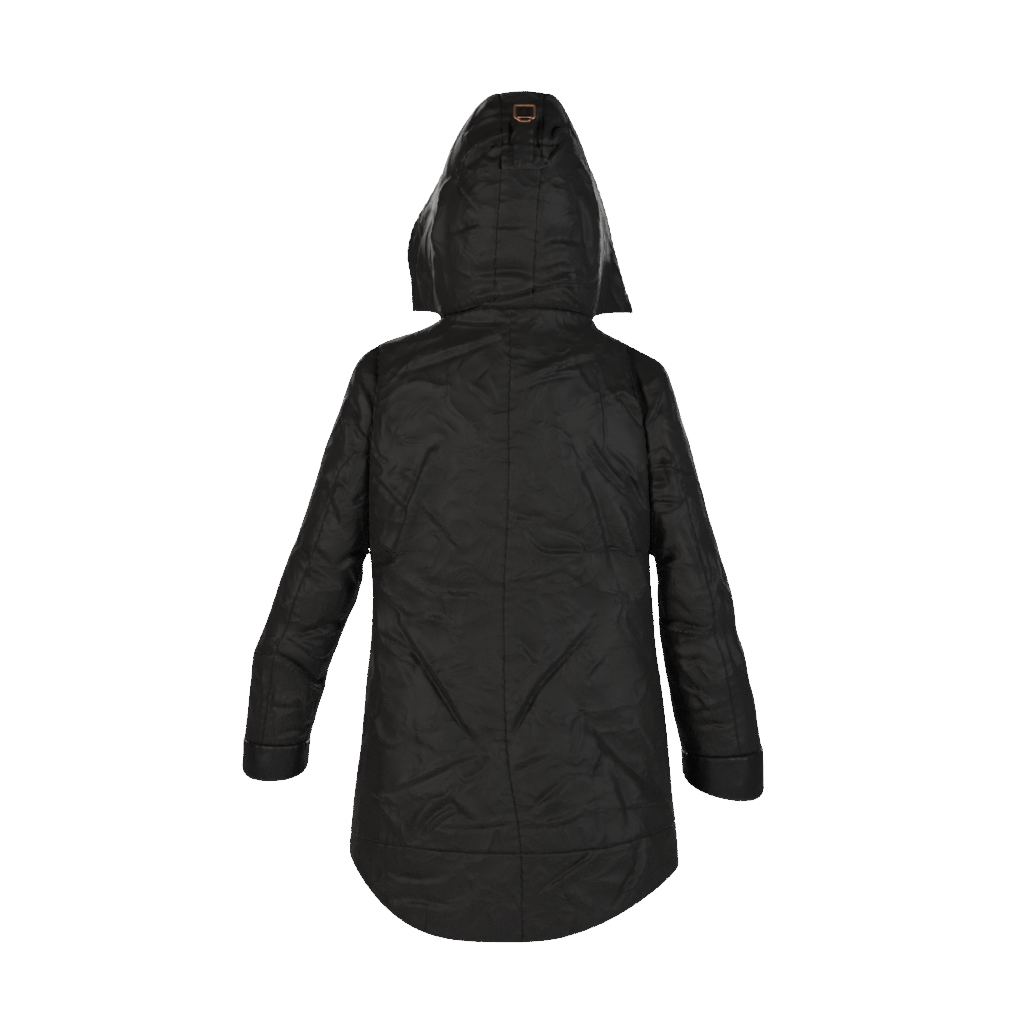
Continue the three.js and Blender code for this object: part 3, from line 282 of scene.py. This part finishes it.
CREASES = {
    "body": (BODY_BACK, BODY_FRONT),
    "left_arm": (LEFT_SLEEVE_BACK, LEFT_SLEEVE_FRONT),
    "right_arm": (RIGHT_SLEEVE_BACK, RIGHT_SLEEVE_FRONT),
    "hood": (HOOD_BACK, ()),
}
GROUPS = {
    "back_left": "body", "back_right": "body", "front_left": "body", "front_right": "body",
    "hem_back_left": "body", "hem_back_right": "body", "hem_front_left": "body",
    "hem_front_right": "body", "placket": "body", "collar": "body",
    "sleeve_left_back": "left_arm", "sleeve_left_front": "left_arm", "cuff_left": "left_arm",
    "sleeve_right_back": "right_arm", "sleeve_right_front": "right_arm", "cuff_right": "right_arm",
    "hood_centre": "hood", "hood_left": "hood", "hood_right": "hood",
    "hood_strap": "hood", "strap_keeper": "hood", "strap_tab": "hood",
}

# The shape of every crease, in its own widths and its own height.
STEEP, GENTLE = 0.45, 1.15  # how far it reaches on the side of its trough, and on the other
TROUGH = {"place": 1.0, "width": 0.45, "depth": 0.8}
TAPER = {"least": 0.04, "power": 0.6}  # how it fades towards its two ends
FEATHER = 4  # widths beyond its course at which it is no longer worked out
FACING = (-0.1, 0.45)  # slope over which the creases of one face of the coat set in
DEPTH = {"body": 2.3, "left_arm": 2.4, "right_arm": 2.4, "hood": 2.6}  # how full the creases are

# The cage that a shell grows from.
SHARP = math.radians(50)  # the least angle at the rim of a wall
PAIRING = 1.2  # the angle below which two triangles join into one quad
FIT_ROUNDS = 6
LONG_EDGE = 4.2  # a longer edge is halved, in millimetres

# Edges and surface, in millimetres.
PULL_IN = {"depth": 1.2, "strip_depth": 0.3, "reach": 1.8}  # how cloth sinks into its own seams
SEAM_REACH = 0.6  # how far an edge goes out over its seam
NECK = {"below": 48.0, "reach": 2.3}  # the hood laps the neck seam
ARMHOLE = {"above": -330.0, "reach": 1.6}  # and a sleeve its armhole
EDGE_HOLD = {"body": 0.25, "left_arm": 0.25, "right_arm": 0.25, "hood": 0.75}  # relief left there
EDGE_RISE = 13  # how far in from an edge the relief is whole
PUCKER = {"height": 0.35, "pitch": 13.0, "reach": 12.0, "sway": 2.3, "sway_pitch": 37.0}
UNEVEN = ((0.9, 85.0), (0.7, 40.0), (0.6, 17.0))  # height and pitch of each layer


def smooth_step(low, high, x):
    t = np.clip((x - low) / (high - low), 0, 1)
    return t * t * (3 - 2 * t)


def placed(name, data):
    """A new object in the scene."""
    piece = bpy.data.objects.new(name, data)
    bpy.context.scene.collection.objects.link(piece)
    return piece


def face_groups(bm):
    """The faces of a wall in groups parted by its sharp rims, the largest first."""
    left = set(bm.faces)
    groups = []
    while left:
        start = left.pop()
        group, front = [start], [start]
        while front:
            face = front.pop()
            for edge in face.edges:
                if len(edge.link_faces) != 2 or edge.calc_face_angle(0) > SHARP:
                    continue
                for other in edge.link_faces:
                    if other in left:
                        left.remove(other)
                        group.append(other)
                        front.append(other)
        groups.append(group)
    return sorted(groups, key=lambda g: -sum(f.calc_area() for f in g))


def outer_sheet(node):
    """A new object with the outer face of a node's wall, its triangles paired into quads."""
    bm = bmesh.new()
    bm.from_mesh(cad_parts[node].data)
    bmesh.ops.remove_doubles(bm, verts=bm.verts, dist=0.01 * MM)
    outer = set(face_groups(bm)[0])
    bmesh.ops.delete(bm, geom=[f for f in bm.faces if f not in outer], context="FACES")
    bmesh.ops.join_triangles(
        bm, faces=bm.faces, angle_face_threshold=PAIRING, angle_shape_threshold=PAIRING
    )
    pinned = bm.verts.layers.float.new("crease_vert")  # keeps the sheet's corners from rounding
    for corner in bm.verts:
        if corner.is_boundary and len(corner.link_edges) == 2:
            corner[pinned] = 1.0
    fit_cage(bm)
    mesh = bpy.data.meshes.new(node + "_shell")
    bm.to_mesh(mesh)
    bm.free()
    return placed(node + "_shell", mesh)


def fit_cage(bm):
    """Moves the cage so that the smoothed surface runs through the solid's own points."""
    bm.verts.ensure_lookup_table()
    wanted = [v.co.copy() for v in bm.verts]
    for _ in range(FIT_ROUNDS):
        reached = [smoothed_place(v) for v in bm.verts]
        for v, goal, place in zip(bm.verts, wanted, reached):
            v.co += goal - place


def smoothed_place(v):
    """Where subdivision takes a vertex of the cage."""
    if v.is_boundary:
        ends = [e.other_vert(v).co for e in v.link_edges if e.is_boundary]
        if len(ends) != 2 or len(v.link_edges) == 2:
            return v.co.copy()
        return (4 * v.co + ends[0] + ends[1]) / 6
    n = len(v.link_edges)
    near = sum((e.other_vert(v).co for e in v.link_edges), Vector())
    across = Vector()
    for loop in v.link_loops:
        across += loop.link_loop_next.link_loop_next.vert.co
    return (n * n * v.co + 4 * near + across) / (n * (n + 5))


def applied(piece):
    """Bakes a piece's modifiers into its mesh."""
    shown = piece.evaluated_get(bpy.context.evaluated_depsgraph_get())
    mesh = bpy.data.meshes.new_from_object(shown)
    piece.modifiers.clear()
    piece.data = mesh
    return piece


def vertex_arrays(mesh):
    """The points, in millimetres, and the normals of a mesh."""
    count = len(mesh.vertices)
    points = np.zeros(count * 3, np.float32)
    normals = np.zeros(count * 3, np.float32)
    mesh.vertices.foreach_get("co", points)
    mesh.vertices.foreach_get("normal", normals)
    return points.reshape(-1, 3).astype(float) / MM, normals.reshape(-1, 3).astype(float)


def rounded_course(through, steps=6):
    """A smooth course through a crease's points."""
    p = [2 * np.array(through[0]) - through[1], *map(np.array, through)]
    p.append(2 * p[-1] - p[-2])
    course = []
    for a, b, c, d in zip(p, p[1:], p[2:], p[3:]):
        for k in range(steps):
            s = k / steps
            square, cube = 2 * a - 5 * b + 4 * c - d, 3 * b - a - 3 * c + d
            course.append(0.5 * (2 * b + (c - a) * s + square * s**2 + cube * s**3))
    course.append(p[-2])
    return np.array(course)


def crease_height(x, z, crease):
    """How far one crease lifts the cloth at each place."""
    course = rounded_course(crease["through"])
    total = np.sum(np.linalg.norm(np.diff(course, axis=0), axis=1))
    reach = crease["width"] * FEATHER
    near = (
        (x > course[:, 0].min() - reach) & (x < course[:, 0].max() + reach)
        & (z > course[:, 1].min() - reach) & (z < course[:, 1].max() + reach)
    )
    height = np.zeros_like(x)
    if not near.any():
        return height
    at = np.stack([x[near], z[near]], axis=1)
    best = np.full(len(at), 1e9)
    side = np.zeros(len(at))
    share = np.zeros(len(at))
    run = 0.0
    for a, b in zip(course, course[1:]):
        along = b - a
        length = np.linalg.norm(along)
        t = np.clip((at - a) @ along / length**2, 0, 1)
        off = at - a - t[:, None] * along
        distance = np.linalg.norm(off, axis=1)
        closer = distance < best
        best[closer] = distance[closer]
        side[closer] = np.sign(along[0] * off[closer, 1] - along[1] * off[closer, 0])
        share[closer] = (run + t[closer] * length) / total
        run += length
    taper = np.sin(np.pi * np.clip(share, TAPER["least"], 1 - TAPER["least"])) ** TAPER["power"]
    q = best * side * np.sign(crease["beside"]) / crease["width"]
    ridge = np.exp(-((q / np.where(q > 0, STEEP, GENTLE)) ** 2))
    trough = np.exp(-(((q - TROUGH["place"]) / TROUGH["width"]) ** 2))
    trough *= TROUGH["depth"] * abs(crease["beside"])
    height[near] = crease["rise"] * taper * (ridge - trough)
    return height


def crease_lift(points, normals, group):
    """The height of all of a group's creases, each felt only on the face that it lies on."""
    total = np.zeros(len(points))
    for creases, facing in zip(CREASES[group], (1, -1)):
        weight = smooth_step(*FACING, facing * normals[:, 1])
        for crease in creases:
            total += weight * crease_height(points[:, 0], points[:, 2], crease)
    return total


def edge_distance(mesh, points):
    """How far each vertex is from the sheet's edge, and how far round the edge its place is."""
    tree_points = []
    for loop in edge_loops(mesh):
        run = 0.0
        for a, b in zip(loop, loop[1:] + loop[:1]):
            pa, pb = points[a], points[b]
            tree_points.append((pa, run))
            run += float(np.linalg.norm(pb - pa))
    tree = KDTree(len(tree_points))
    for i, (p, _) in enumerate(tree_points):
        tree.insert(p, i)
    tree.balance()
    found = [tree.find(p)[1:] for p in points]
    distance = np.array([f[1] for f in found])
    along = np.array([tree_points[f[0]][1] for f in found])
    return distance, along


def edge_loops(mesh):
    """The vertex numbers round each open edge of a sheet, in order."""
    bm = bmesh.new()
    bm.from_mesh(mesh)
    bm.verts.ensure_lookup_table()
    step = {}
    for edge in bm.edges:
        if edge.is_boundary:
            loop = edge.link_loops[0]
            step[loop.vert.index] = loop.link_loop_next.vert.index
    bm.free()
    loops = []
    while step:
        start, at = step.popitem()
        loop = [start]
        while at != start:
            loop.append(at)
            at = step.pop(at)
        loops.append(loop)
    return loops


def unevenness(points):
    """The slight rise and fall of wadded cloth."""
    total = np.zeros(len(points))
    for height, pitch in UNEVEN:
        total += height * np.array([noise.noise(Vector(p / pitch)) for p in points])
    return total


def split_long_rows(mesh):
    """Halves the edges that are too long for a sharp crease."""
    bm = bmesh.new()
    bm.from_mesh(mesh)
    long = [e for e in bm.edges if e.calc_length() > LONG_EDGE * MM]
    bmesh.ops.subdivide_edges(bm, edges=long, cuts=1, use_grid_fill=True)
    bm.to_mesh(mesh)
    bm.free()
    mesh.update()


def seam_reach(mesh, points, normals, group):
    """Moves each edge a little way out, so that two pieces close on each other at their seam."""
    moved = points.copy()
    for loop in edge_loops(mesh):
        ring = points[loop]
        course = np.roll(ring, -1, axis=0) - np.roll(ring, 1, axis=0)
        out = np.cross(course, normals[loop])
        out /= np.maximum(np.linalg.norm(out, axis=1, keepdims=True), 1e-9)
        reach = np.full(len(ring), SEAM_REACH)
        if group == "hood":
            reach[ring[:, 2] < NECK["below"]] = NECK["reach"]
        elif group != "body":
            reach[ring[:, 2] > ARMHOLE["above"]] = ARMHOLE["reach"]
        moved[loop] += out * reach[:, None]
    return moved


def cloth_shell(node, levels):
    """A thin shell on a node's form, with its creases, puckered seams and slight unevenness."""
    piece = outer_sheet(node)
    smooth = piece.modifiers.new("smooth", "SUBSURF")
    smooth.levels = smooth.render_levels = levels
    applied(piece)
    mesh = piece.data
    split_long_rows(mesh)
    points, normals = vertex_arrays(mesh)
    distance, along = edge_distance(mesh, points)
    group = GROUPS[node]
    lift = DEPTH[group] * crease_lift(points, normals, group) + unevenness(points)
    if node in STRIPS:
        depth = PULL_IN["strip_depth"]
        lift += STRIP_LIFT
    else:
        depth = PULL_IN["depth"]
        lift *= EDGE_HOLD[group] + (1 - EDGE_HOLD[group]) * smooth_step(0, EDGE_RISE, distance)
    lift -= depth * np.exp(-((distance / PULL_IN["reach"]) ** 2))
    sway = PUCKER["sway"] * np.sin(along / PUCKER["sway_pitch"])
    ripple = np.sin(along / PUCKER["pitch"] * 2 * np.pi + sway)
    lift += PUCKER["height"] * ripple * np.exp(-((distance / PUCKER["reach"]) ** 2))
    moved = seam_reach(mesh, points, normals, group) + normals * lift[:, None]
    moved *= MM
    mesh.vertices.foreach_set("co", moved.astype(np.float32).ravel())
    mesh.update()
    return piece


def thickened(piece, thickness):
    """Gives a sheet its thickness, inward from the form."""
    solid = piece.modifiers.new("thickness", "SOLIDIFY")
    solid.thickness = thickness
    solid.offset = -1
    applied(piece)
    piece.data.shade_smooth()
    return piece


# Stitches, in millimetres: near is how close to the cloth the place worked out has to be.
STITCH = {"length": 3.0, "pitch": 3.9, "radius": 0.42, "proud": 0.25, "near": 1.5}
STITCH_SIDES = 6
STITCH_RINGS = ((-0.5, 0.35), (-0.3, 1.0), (0.3, 1.0), (0.5, 0.35))  # place, and share of the radius


def stitch_places(sheet, inset, wanted):
    """Stitches along a sheet's edge, inset from it, where wanted says so of a place and a course."""
    mesh = sheet.data
    points, normals = vertex_arrays(mesh)
    bm = bmesh.new()
    bm.from_mesh(mesh)
    tree = BVHTree.FromBMesh(bm)
    bm.free()
    places = []
    for loop in edge_loops(mesh):
        places += edge_places(points[loop], normals[loop], inset, wanted, tree)
    return places


def edge_places(edge, normals, inset, wanted, tree):
    """Where stitches go along one loop: the middle, the course and the cloth's normal of each."""
    places = []
    run = 0.0
    for k in range(len(edge)):
        a, b = edge[k - 1], edge[k]
        course = b - a
        length = np.linalg.norm(course)
        if length < 1e-6:
            continue
        while run < length:
            p = a + course * (run / length)
            run += STITCH["pitch"]
            if not wanted(p, course / length):
                continue
            inward = np.cross(normals[k], course / length)
            for way in (inward, -inward):
                hit = tree.find_nearest(Vector((p + way * inset) * MM))
                if hit[0] is not None and hit[3] < STITCH["near"] * MM:
                    places.append((hit[0], Vector(course / length), hit[1]))
                    break
        run -= length
    return places


def stitches(name, places):
    """One mesh of small rounded stitches."""
    sides, last = STITCH_SIDES, (len(STITCH_RINGS) - 1) * STITCH_SIDES
    ring = [(math.cos(a), math.sin(a)) for a in np.arange(sides) * math.pi / 3]
    verts, faces = [], []
    for middle, course, normal in places:
        across = normal.cross(course).normalized()
        base = len(verts)
        for along, size in STITCH_RINGS:
            centre = middle + course * (along * STITCH["length"] * MM)
            centre = centre + normal * (STITCH["proud"] - STITCH["radius"] * (1 - size)) * MM
            for c, s in ring:
                r = STITCH["radius"] * size * MM
                verts.append(centre + across * (c * r) + normal * (s * r))
        for start in range(base, base + last, sides):
            for j in range(sides):
                a, b = start + j, start + (j + 1) % sides
                faces.append((a, b, b + sides, a + sides))
        faces.append(tuple(base + j for j in reversed(range(sides))))
        faces.append(tuple(base + last + j for j in range(sides)))
    mesh = bpy.data.meshes.new(name)
    mesh.from_pydata(verts, [], faces)
    mesh.shade_smooth()
    return placed(name, mesh)


def near_course(x, z, course, reach):
    """Whether a place is within reach of a course of points that runs downwards."""
    heights = [q[1] for q in course][::-1]
    across = [q[0] for q in course][::-1]
    return abs(x - np.interp(z, heights, across)) < reach


# The seam between the two pieces of each sleeve, from the shoulder down.
ARM_SEAMS = {
    "left": ((205, -173), (223, -222), (242, -261), (260, -306), (277, -351), (292, -396),
             (309, -437), (326, -503), (344, -574)),
    "right": ((-175, -141), (-199, -196), (-224, -243), (-239, -294), (-252, -354), (-260, -418),
              (-272, -468), (-290, -513), (-302, -579)),
}
ARM_SEAM_NEAR = 14


def on_centre_seam(p, c):
    return abs(c[2]) > 0.8 and p[2] < -8


def on_hem_seam(p, c):
    return abs(c[2]) < 0.5 and p[2] < -640


def on_left_arm_seam(p, c):
    near = near_course(p[0], p[2], ARM_SEAMS["left"], ARM_SEAM_NEAR)
    return p[1] > -20 and near and abs(c[2]) > 0.5


def on_right_arm_seam(p, c):
    near = near_course(p[0], p[2], ARM_SEAMS["right"], ARM_SEAM_NEAR)
    return p[1] > -20 and near and abs(c[2]) > 0.5


def on_left_cuff_seam(p, c):
    return p[2] < -540 and abs(c[2]) < 0.6


def on_right_cuff_seam(p, c):
    return p[2] < -560 and abs(c[2]) < 0.6


def on_face_edge(p, c):
    return p[1] < -60


# Name, the sheet it is on, inset from the edge, and where along the edge, as a place and a course.
STITCHED = (
    ("centre_stitches_left", "back_left", 2.4,
     lambda p, c: on_centre_seam(p, c) and p[0] < 26 and p[2] > -700),
    ("centre_stitches_right", "back_right", 2.4,
     lambda p, c: on_centre_seam(p, c) and p[0] > -26 and p[2] > -140),
    ("hem_stitches_left", "back_left", 3.2, on_hem_seam),
    ("hem_stitches_right", "back_right", 3.2, on_hem_seam),
    ("hem_stitches_front_left", "front_left", 3.2, on_hem_seam),
    ("hem_stitches_front_right", "front_right", 3.2, on_hem_seam),
    ("arm_stitches_left", "sleeve_left_front", 2.6, on_left_arm_seam),
    ("arm_stitches_right", "sleeve_right_front", 2.6, on_right_arm_seam),
    ("cuff_stitches_left", "sleeve_left_back", 3.0, on_left_cuff_seam),
    ("cuff_stitches_left_front", "sleeve_left_front", 3.0, on_left_cuff_seam),
    ("cuff_stitches_right", "sleeve_right_back", 3.0, on_right_cuff_seam),
    ("cuff_stitches_right_front", "sleeve_right_front", 3.0, on_right_cuff_seam),
    ("hood_edge_stitches_left", "hood_left", 18.0, on_face_edge),
    ("hood_edge_stitches_right", "hood_right", 18.0, on_face_edge),
    ("placket_stitches", "placket", 4.0, lambda p, c: abs(c[2]) > 0.8),
    ("strap_stitches", "hood_strap", 2.0, lambda p, c: True),
)

# The buckle, in millimetres and degrees.
BUCKLE = {
    "centre": (-11.5, 89.9, 282.4), "lean": 30.5, "half_width": 1.75, "half_depth": 1.3,
    "cross_bar": {"half_width": 1.1, "half_length": 13.0, "at": -6.9},
}
SQUARENESS = 0.62  # of the bar's section: 1 is round, and less is squarer
BUCKLE_COURSE = (  # the middle of the frame's bar, and the rounding of each corner
    ((-13.4, 12.6), 2.6), ((13.4, 12.9), 2.6), ((13.4, -6.0), 2.0), ((5.0, -12.9), 1.6),
    ((-5.0, -12.9), 1.6), ((-13.4, -6.0), 2.0),
)


def rounded_corners(course, steps=6):
    """A closed flat course with its corners rounded."""
    flat = []
    for k, (corner, radius) in enumerate(course):
        corner = np.array(corner)
        before = np.array(course[k - 1][0]) - corner
        after = np.array(course[(k + 1) % len(course)][0]) - corner
        start = corner + before / np.linalg.norm(before) * radius
        end = corner + after / np.linalg.norm(after) * radius
        for i in range(steps + 1):
            t = i / steps
            flat.append((1 - t) ** 2 * start + 2 * t * (1 - t) * corner + t**2 * end)
    return flat


def bar_section(half_width, half_depth, sides=16):
    """A rounded square section."""
    def squared(c):
        return math.copysign(abs(c) ** SQUARENESS, c)

    turns = [math.tau * k / sides for k in range(sides)]
    return [(half_width * squared(math.cos(a)), half_depth * squared(math.sin(a))) for a in turns]


def buckle():
    """The rose gold frame with its thin cross bar and the tapered end that holds the strap."""
    lean = math.radians(BUCKLE["lean"])
    across = Vector((1, 0, 0))
    up = Vector((0, -math.sin(lean), math.cos(lean)))
    out = Vector((0, math.cos(lean), math.sin(lean)))
    centre = Vector(BUCKLE["centre"])
    verts, faces = [], []

    def bar(course, section, closed):
        base, count, sides = len(verts), len(course), len(section)
        for k, q in enumerate(course):
            before = course[k - 1] if closed or k else q
            after = course[(k + 1) % count] if closed or k + 1 < count else q
            run = (after - before) / np.linalg.norm(after - before)
            side = np.array((-run[1], run[0]))
            for w, d in section:
                flat = q + side * w
                verts.append((centre + across * flat[0] + up * flat[1] + out * d) * MM)
        for k in range(count if closed else count - 1):
            here, there = base + k * sides, base + (k + 1) % count * sides
            for j in range(sides):
                i = (j + 1) % sides
                faces.append((here + j, here + i, there + i, there + j))
        if not closed:
            faces.append([base + j for j in reversed(range(sides))])
            faces.append([base + (count - 1) * sides + j for j in range(sides)])

    frame_section = bar_section(BUCKLE["half_width"], BUCKLE["half_depth"])
    bar(rounded_corners(BUCKLE_COURSE), frame_section, closed=True)
    cross = BUCKLE["cross_bar"]
    end = cross["half_length"]
    cross_course = [np.array((x, cross["at"])) for x in (-end, 0.0, end)]
    bar(cross_course, bar_section(cross["half_width"], cross["half_width"]), closed=False)
    mesh = bpy.data.meshes.new("buckle")
    mesh.from_pydata(verts, [], faces)
    bm = bmesh.new()
    bm.from_mesh(mesh)
    bmesh.ops.recalc_face_normals(bm, faces=bm.faces)
    bm.to_mesh(mesh)
    bm.free()
    mesh.shade_smooth()
    piece = placed("buckle", mesh)
    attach(piece, "root")
    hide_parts("strap_buckle")
    return piece


def new_material(name):
    material = bpy.data.materials.new(name)
    material.use_nodes = True
    nodes = material.node_tree.nodes
    return material, nodes, material.node_tree.links, nodes["Principled BSDF"]


def set_inputs(node, values):
    for name, value in values.items():
        node.inputs[name].default_value = value


def added(nodes, kind, values):
    """A new node of a kind, with these values on its inputs."""
    node = nodes.new("ShaderNode" + kind)
    set_inputs(node, values)
    return node


def cloth_material(name, dark, light, roughness, weave):
    """Close twill: fine slanting ribs, a little uneven in tone, with a soft sheen."""
    material, nodes, links, shader = new_material(name)
    place = nodes.new("ShaderNodeTexCoord")
    ribs = added(nodes, "TexWave", {"Scale": weave["scale"], "Distortion": 1.2, "Detail": 1})
    ribs.wave_type = "BANDS"
    ribs.bands_direction = "DIAGONAL"
    grain = added(nodes, "TexNoise", {"Scale": 900, "Detail": 2})
    both = added(nodes, "Mix", {"Factor": 0.35})
    bump = added(nodes, "Bump", {"Strength": weave["strength"], "Distance": 0.3 * MM})
    crumple = nodes.new("ShaderNodeTexNoise")
    crumple.noise_type = "RIDGED_MULTIFRACTAL"
    set_inputs(crumple, {
        "Scale": 17, "Detail": 2, "Roughness": 0.55, "Lacunarity": 2.3, "Distortion": 0.5,
        "Offset": 1.0, "Gain": 1.2,
    })
    crumpled = added(nodes, "Bump", {"Strength": weave["crumple"], "Distance": 3 * MM})
    patches = added(nodes, "TexNoise", {"Scale": 9, "Detail": 3})
    tone = nodes.new("ShaderNodeValToRGB")
    for stop, position, colour in zip(tone.color_ramp.elements, (0.3, 0.75), (dark, light)):
        stop.position = position
        stop.color = (*colour, 1)
    for texture in (ribs, grain, crumple, patches):
        links.new(place.outputs["Object"], texture.inputs["Vector"])
    links.new(ribs.outputs["Fac"], both.inputs["A"])
    links.new(grain.outputs["Fac"], both.inputs["B"])
    links.new(both.outputs["Result"], bump.inputs["Height"])
    links.new(crumple.outputs["Fac"], crumpled.inputs["Height"])
    links.new(crumpled.outputs["Normal"], bump.inputs["Normal"])
    links.new(patches.outputs["Fac"], tone.inputs["Fac"])
    links.new(tone.outputs["Color"], shader.inputs["Base Color"])
    links.new(bump.outputs["Normal"], shader.inputs["Normal"])
    set_inputs(shader, {
        "Roughness": roughness, "Specular IOR Level": 0.5, "Sheen Weight": 0.07,
        "Sheen Roughness": 0.5, "Sheen Tint": (0.9, 0.85, 0.82, 1),
    })
    return material


def metal_material():
    """Rose gold plating, with a little uneven wear."""
    material, nodes, links, shader = new_material("rose_gold")
    place = nodes.new("ShaderNodeTexCoord")
    wear = added(nodes, "TexNoise", {"Scale": 260})
    rough = added(nodes, "MapRange", {"To Min": 0.3, "To Max": 0.45})
    links.new(place.outputs["Object"], wear.inputs["Vector"])
    links.new(wear.outputs["Fac"], rough.inputs["Value"])
    links.new(rough.outputs["Result"], shader.inputs["Roughness"])
    set_inputs(shader, {"Base Color": (0.86, 0.46, 0.28, 1), "Metallic": 1})
    return material


def thread_material():
    material, nodes, links, shader = new_material("thread")
    place = nodes.new("ShaderNodeTexCoord")
    twist = added(nodes, "TexNoise", {"Scale": 1500})
    bump = added(nodes, "Bump", {"Strength": 0.4, "Distance": 0.1 * MM})
    links.new(place.outputs["Object"], twist.inputs["Vector"])
    links.new(twist.outputs["Fac"], bump.inputs["Height"])
    links.new(bump.outputs["Normal"], shader.inputs["Normal"])
    set_inputs(shader, {"Base Color": (0.02, 0.02, 0.02, 1), "Roughness": 0.45})
    return material


def floor_material():
    material, _, _, shader = new_material("pale_floor")
    set_inputs(shader, {"Base Color": (0.9, 0.9, 0.9, 1), "Roughness": 0.9})
    return material


def make_camera():
    data = bpy.data.cameras.new("camera")
    data.sensor_width = SENSOR
    data.lens = SENSOR * CAMERA_DISTANCE / VIEW_HEIGHT
    data.clip_end = FAR_CLIP
    camera = placed("camera", data)
    camera.location = VIEW_CENTRE + Vector((0, CAMERA_DISTANCE, 0))
    camera.rotation_euler = (math.radians(90), 0, math.radians(180))
    bpy.context.scene.camera = camera


def soft_light(name, place, target, size, power, tint):
    data = bpy.data.lights.new(name, "AREA")
    data.size = size
    data.energy = power
    data.color = tint
    lamp = placed(name, data)
    lamp.location = place
    lamp.rotation_euler = (Vector(target) - Vector(place)).to_track_quat("-Z", "Y").to_euler()


# The world lights the coat by one strength and shows the camera another, for the white backdrop.
STUDIO = {"light": 0.08, "backdrop": 40.0}
FLOOR = {"z": -1.45, "radius": 2.6, "sides": 96}  # where a wearer would stand
COAT = (0, 0, -0.25)  # what the lamps point at
LAMPS = (  # name, place, target, size in metres, watts, tint
    ("key", (1.2, 1.15, 0.12), COAT, 0.35, 10.6, (1, 0.93, 0.9)),
    ("fill", (-1.2, 1.15, 0.08), COAT, 0.35, 10.8, (1, 1, 1)),
    ("eye", (0.1, 1.5, -0.12), COAT, 0.5, 2.9, (1, 0.99, 0.98)),
    ("front_key", (0.9, -2.5, 0.7), COAT, 0.8, 23, (1, 0.98, 0.96)),
    ("front_fill", (-0.8, -2.5, 0.3), COAT, 0.8, 17, (1, 1, 1)),
    ("floor_light", (0, 0, -0.95), (0, 0.001, -2), 2.2, 5, (1, 1, 1)),
)


def make_studio():
    """The white world, the lamps and a pale floor."""
    world = bpy.data.worlds.new("studio")
    world.use_nodes = True
    nodes, links = world.node_tree.nodes, world.node_tree.links
    rays = nodes.new("ShaderNodeLightPath")
    strength = added(nodes, "MapRange", {"To Min": STUDIO["light"], "To Max": STUDIO["backdrop"]})
    links.new(rays.outputs["Is Camera Ray"], strength.inputs["Value"])
    links.new(strength.outputs["Result"], nodes["Background"].inputs["Strength"])
    nodes["Background"].inputs["Color"].default_value = (1, 1, 1, 1)
    bpy.context.scene.world = world
    for lamp in LAMPS:
        soft_light(*lamp)
    mesh = bpy.data.meshes.new("floor")
    sides, radius = FLOOR["sides"], FLOOR["radius"]
    rim = [math.tau * k / sides for k in range(sides)]
    corners = [(radius * math.cos(a), radius * math.sin(a), FLOOR["z"]) for a in rim]
    mesh.from_pydata(corners, [], [range(sides)])
    mesh.materials.append(floor_material())
    placed("floor", mesh)


def declare(piece, node):
    """Says what a shell rides on, and hides the node that it stands for."""
    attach(piece, "root")
    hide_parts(node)


make_camera()
make_studio()
shell_cloth = cloth_material(
    "twill", (0.009, 0.0085, 0.0085), (0.014, 0.013, 0.013), 0.63,
    {"scale": 420, "strength": 0.35, "crumple": 0.78},
)
cuff_cloth = cloth_material(
    "plain_weave", (0.0055, 0.0055, 0.006), (0.008, 0.008, 0.008), 0.5,
    {"scale": 700, "strength": 0.2, "crumple": 0.2},
)
# The strips' cloth: the twill in a lighter tone, which is painted light standing in for the light that
# the raised strap catches.
tape_painted_light = cloth_material(
    "tape_painted_light", (0.013, 0.0125, 0.0125), (0.017, 0.0165, 0.0165), 0.5,
    {"scale": 700, "strength": 0.3, "crumple": 0.1},
)
rose_gold = metal_material()
thread = thread_material()

seams = {}
for node in CUTS:
    sheet = cloth_shell(node, PLAIN if node in COARSE else FINE)
    for name, place, inset, wanted in STITCHED:
        if place == node:
            seams[name] = stitch_places(sheet, inset, wanted)
    thickened(sheet, STRIP_THICKNESS if node in STRIPS else CLOTH_THICKNESS)
    sheet.data.materials.clear()
    cloth = tape_painted_light if node in STRIPS else cuff_cloth if node.startswith("cuff") else shell_cloth
    sheet.data.materials.append(cloth)
    declare(sheet, node)

for name, places in seams.items():
    line = stitches(name, places)
    line.data.materials.append(thread)
    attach(line, "root")
buckle().data.materials.append(rose_gold)
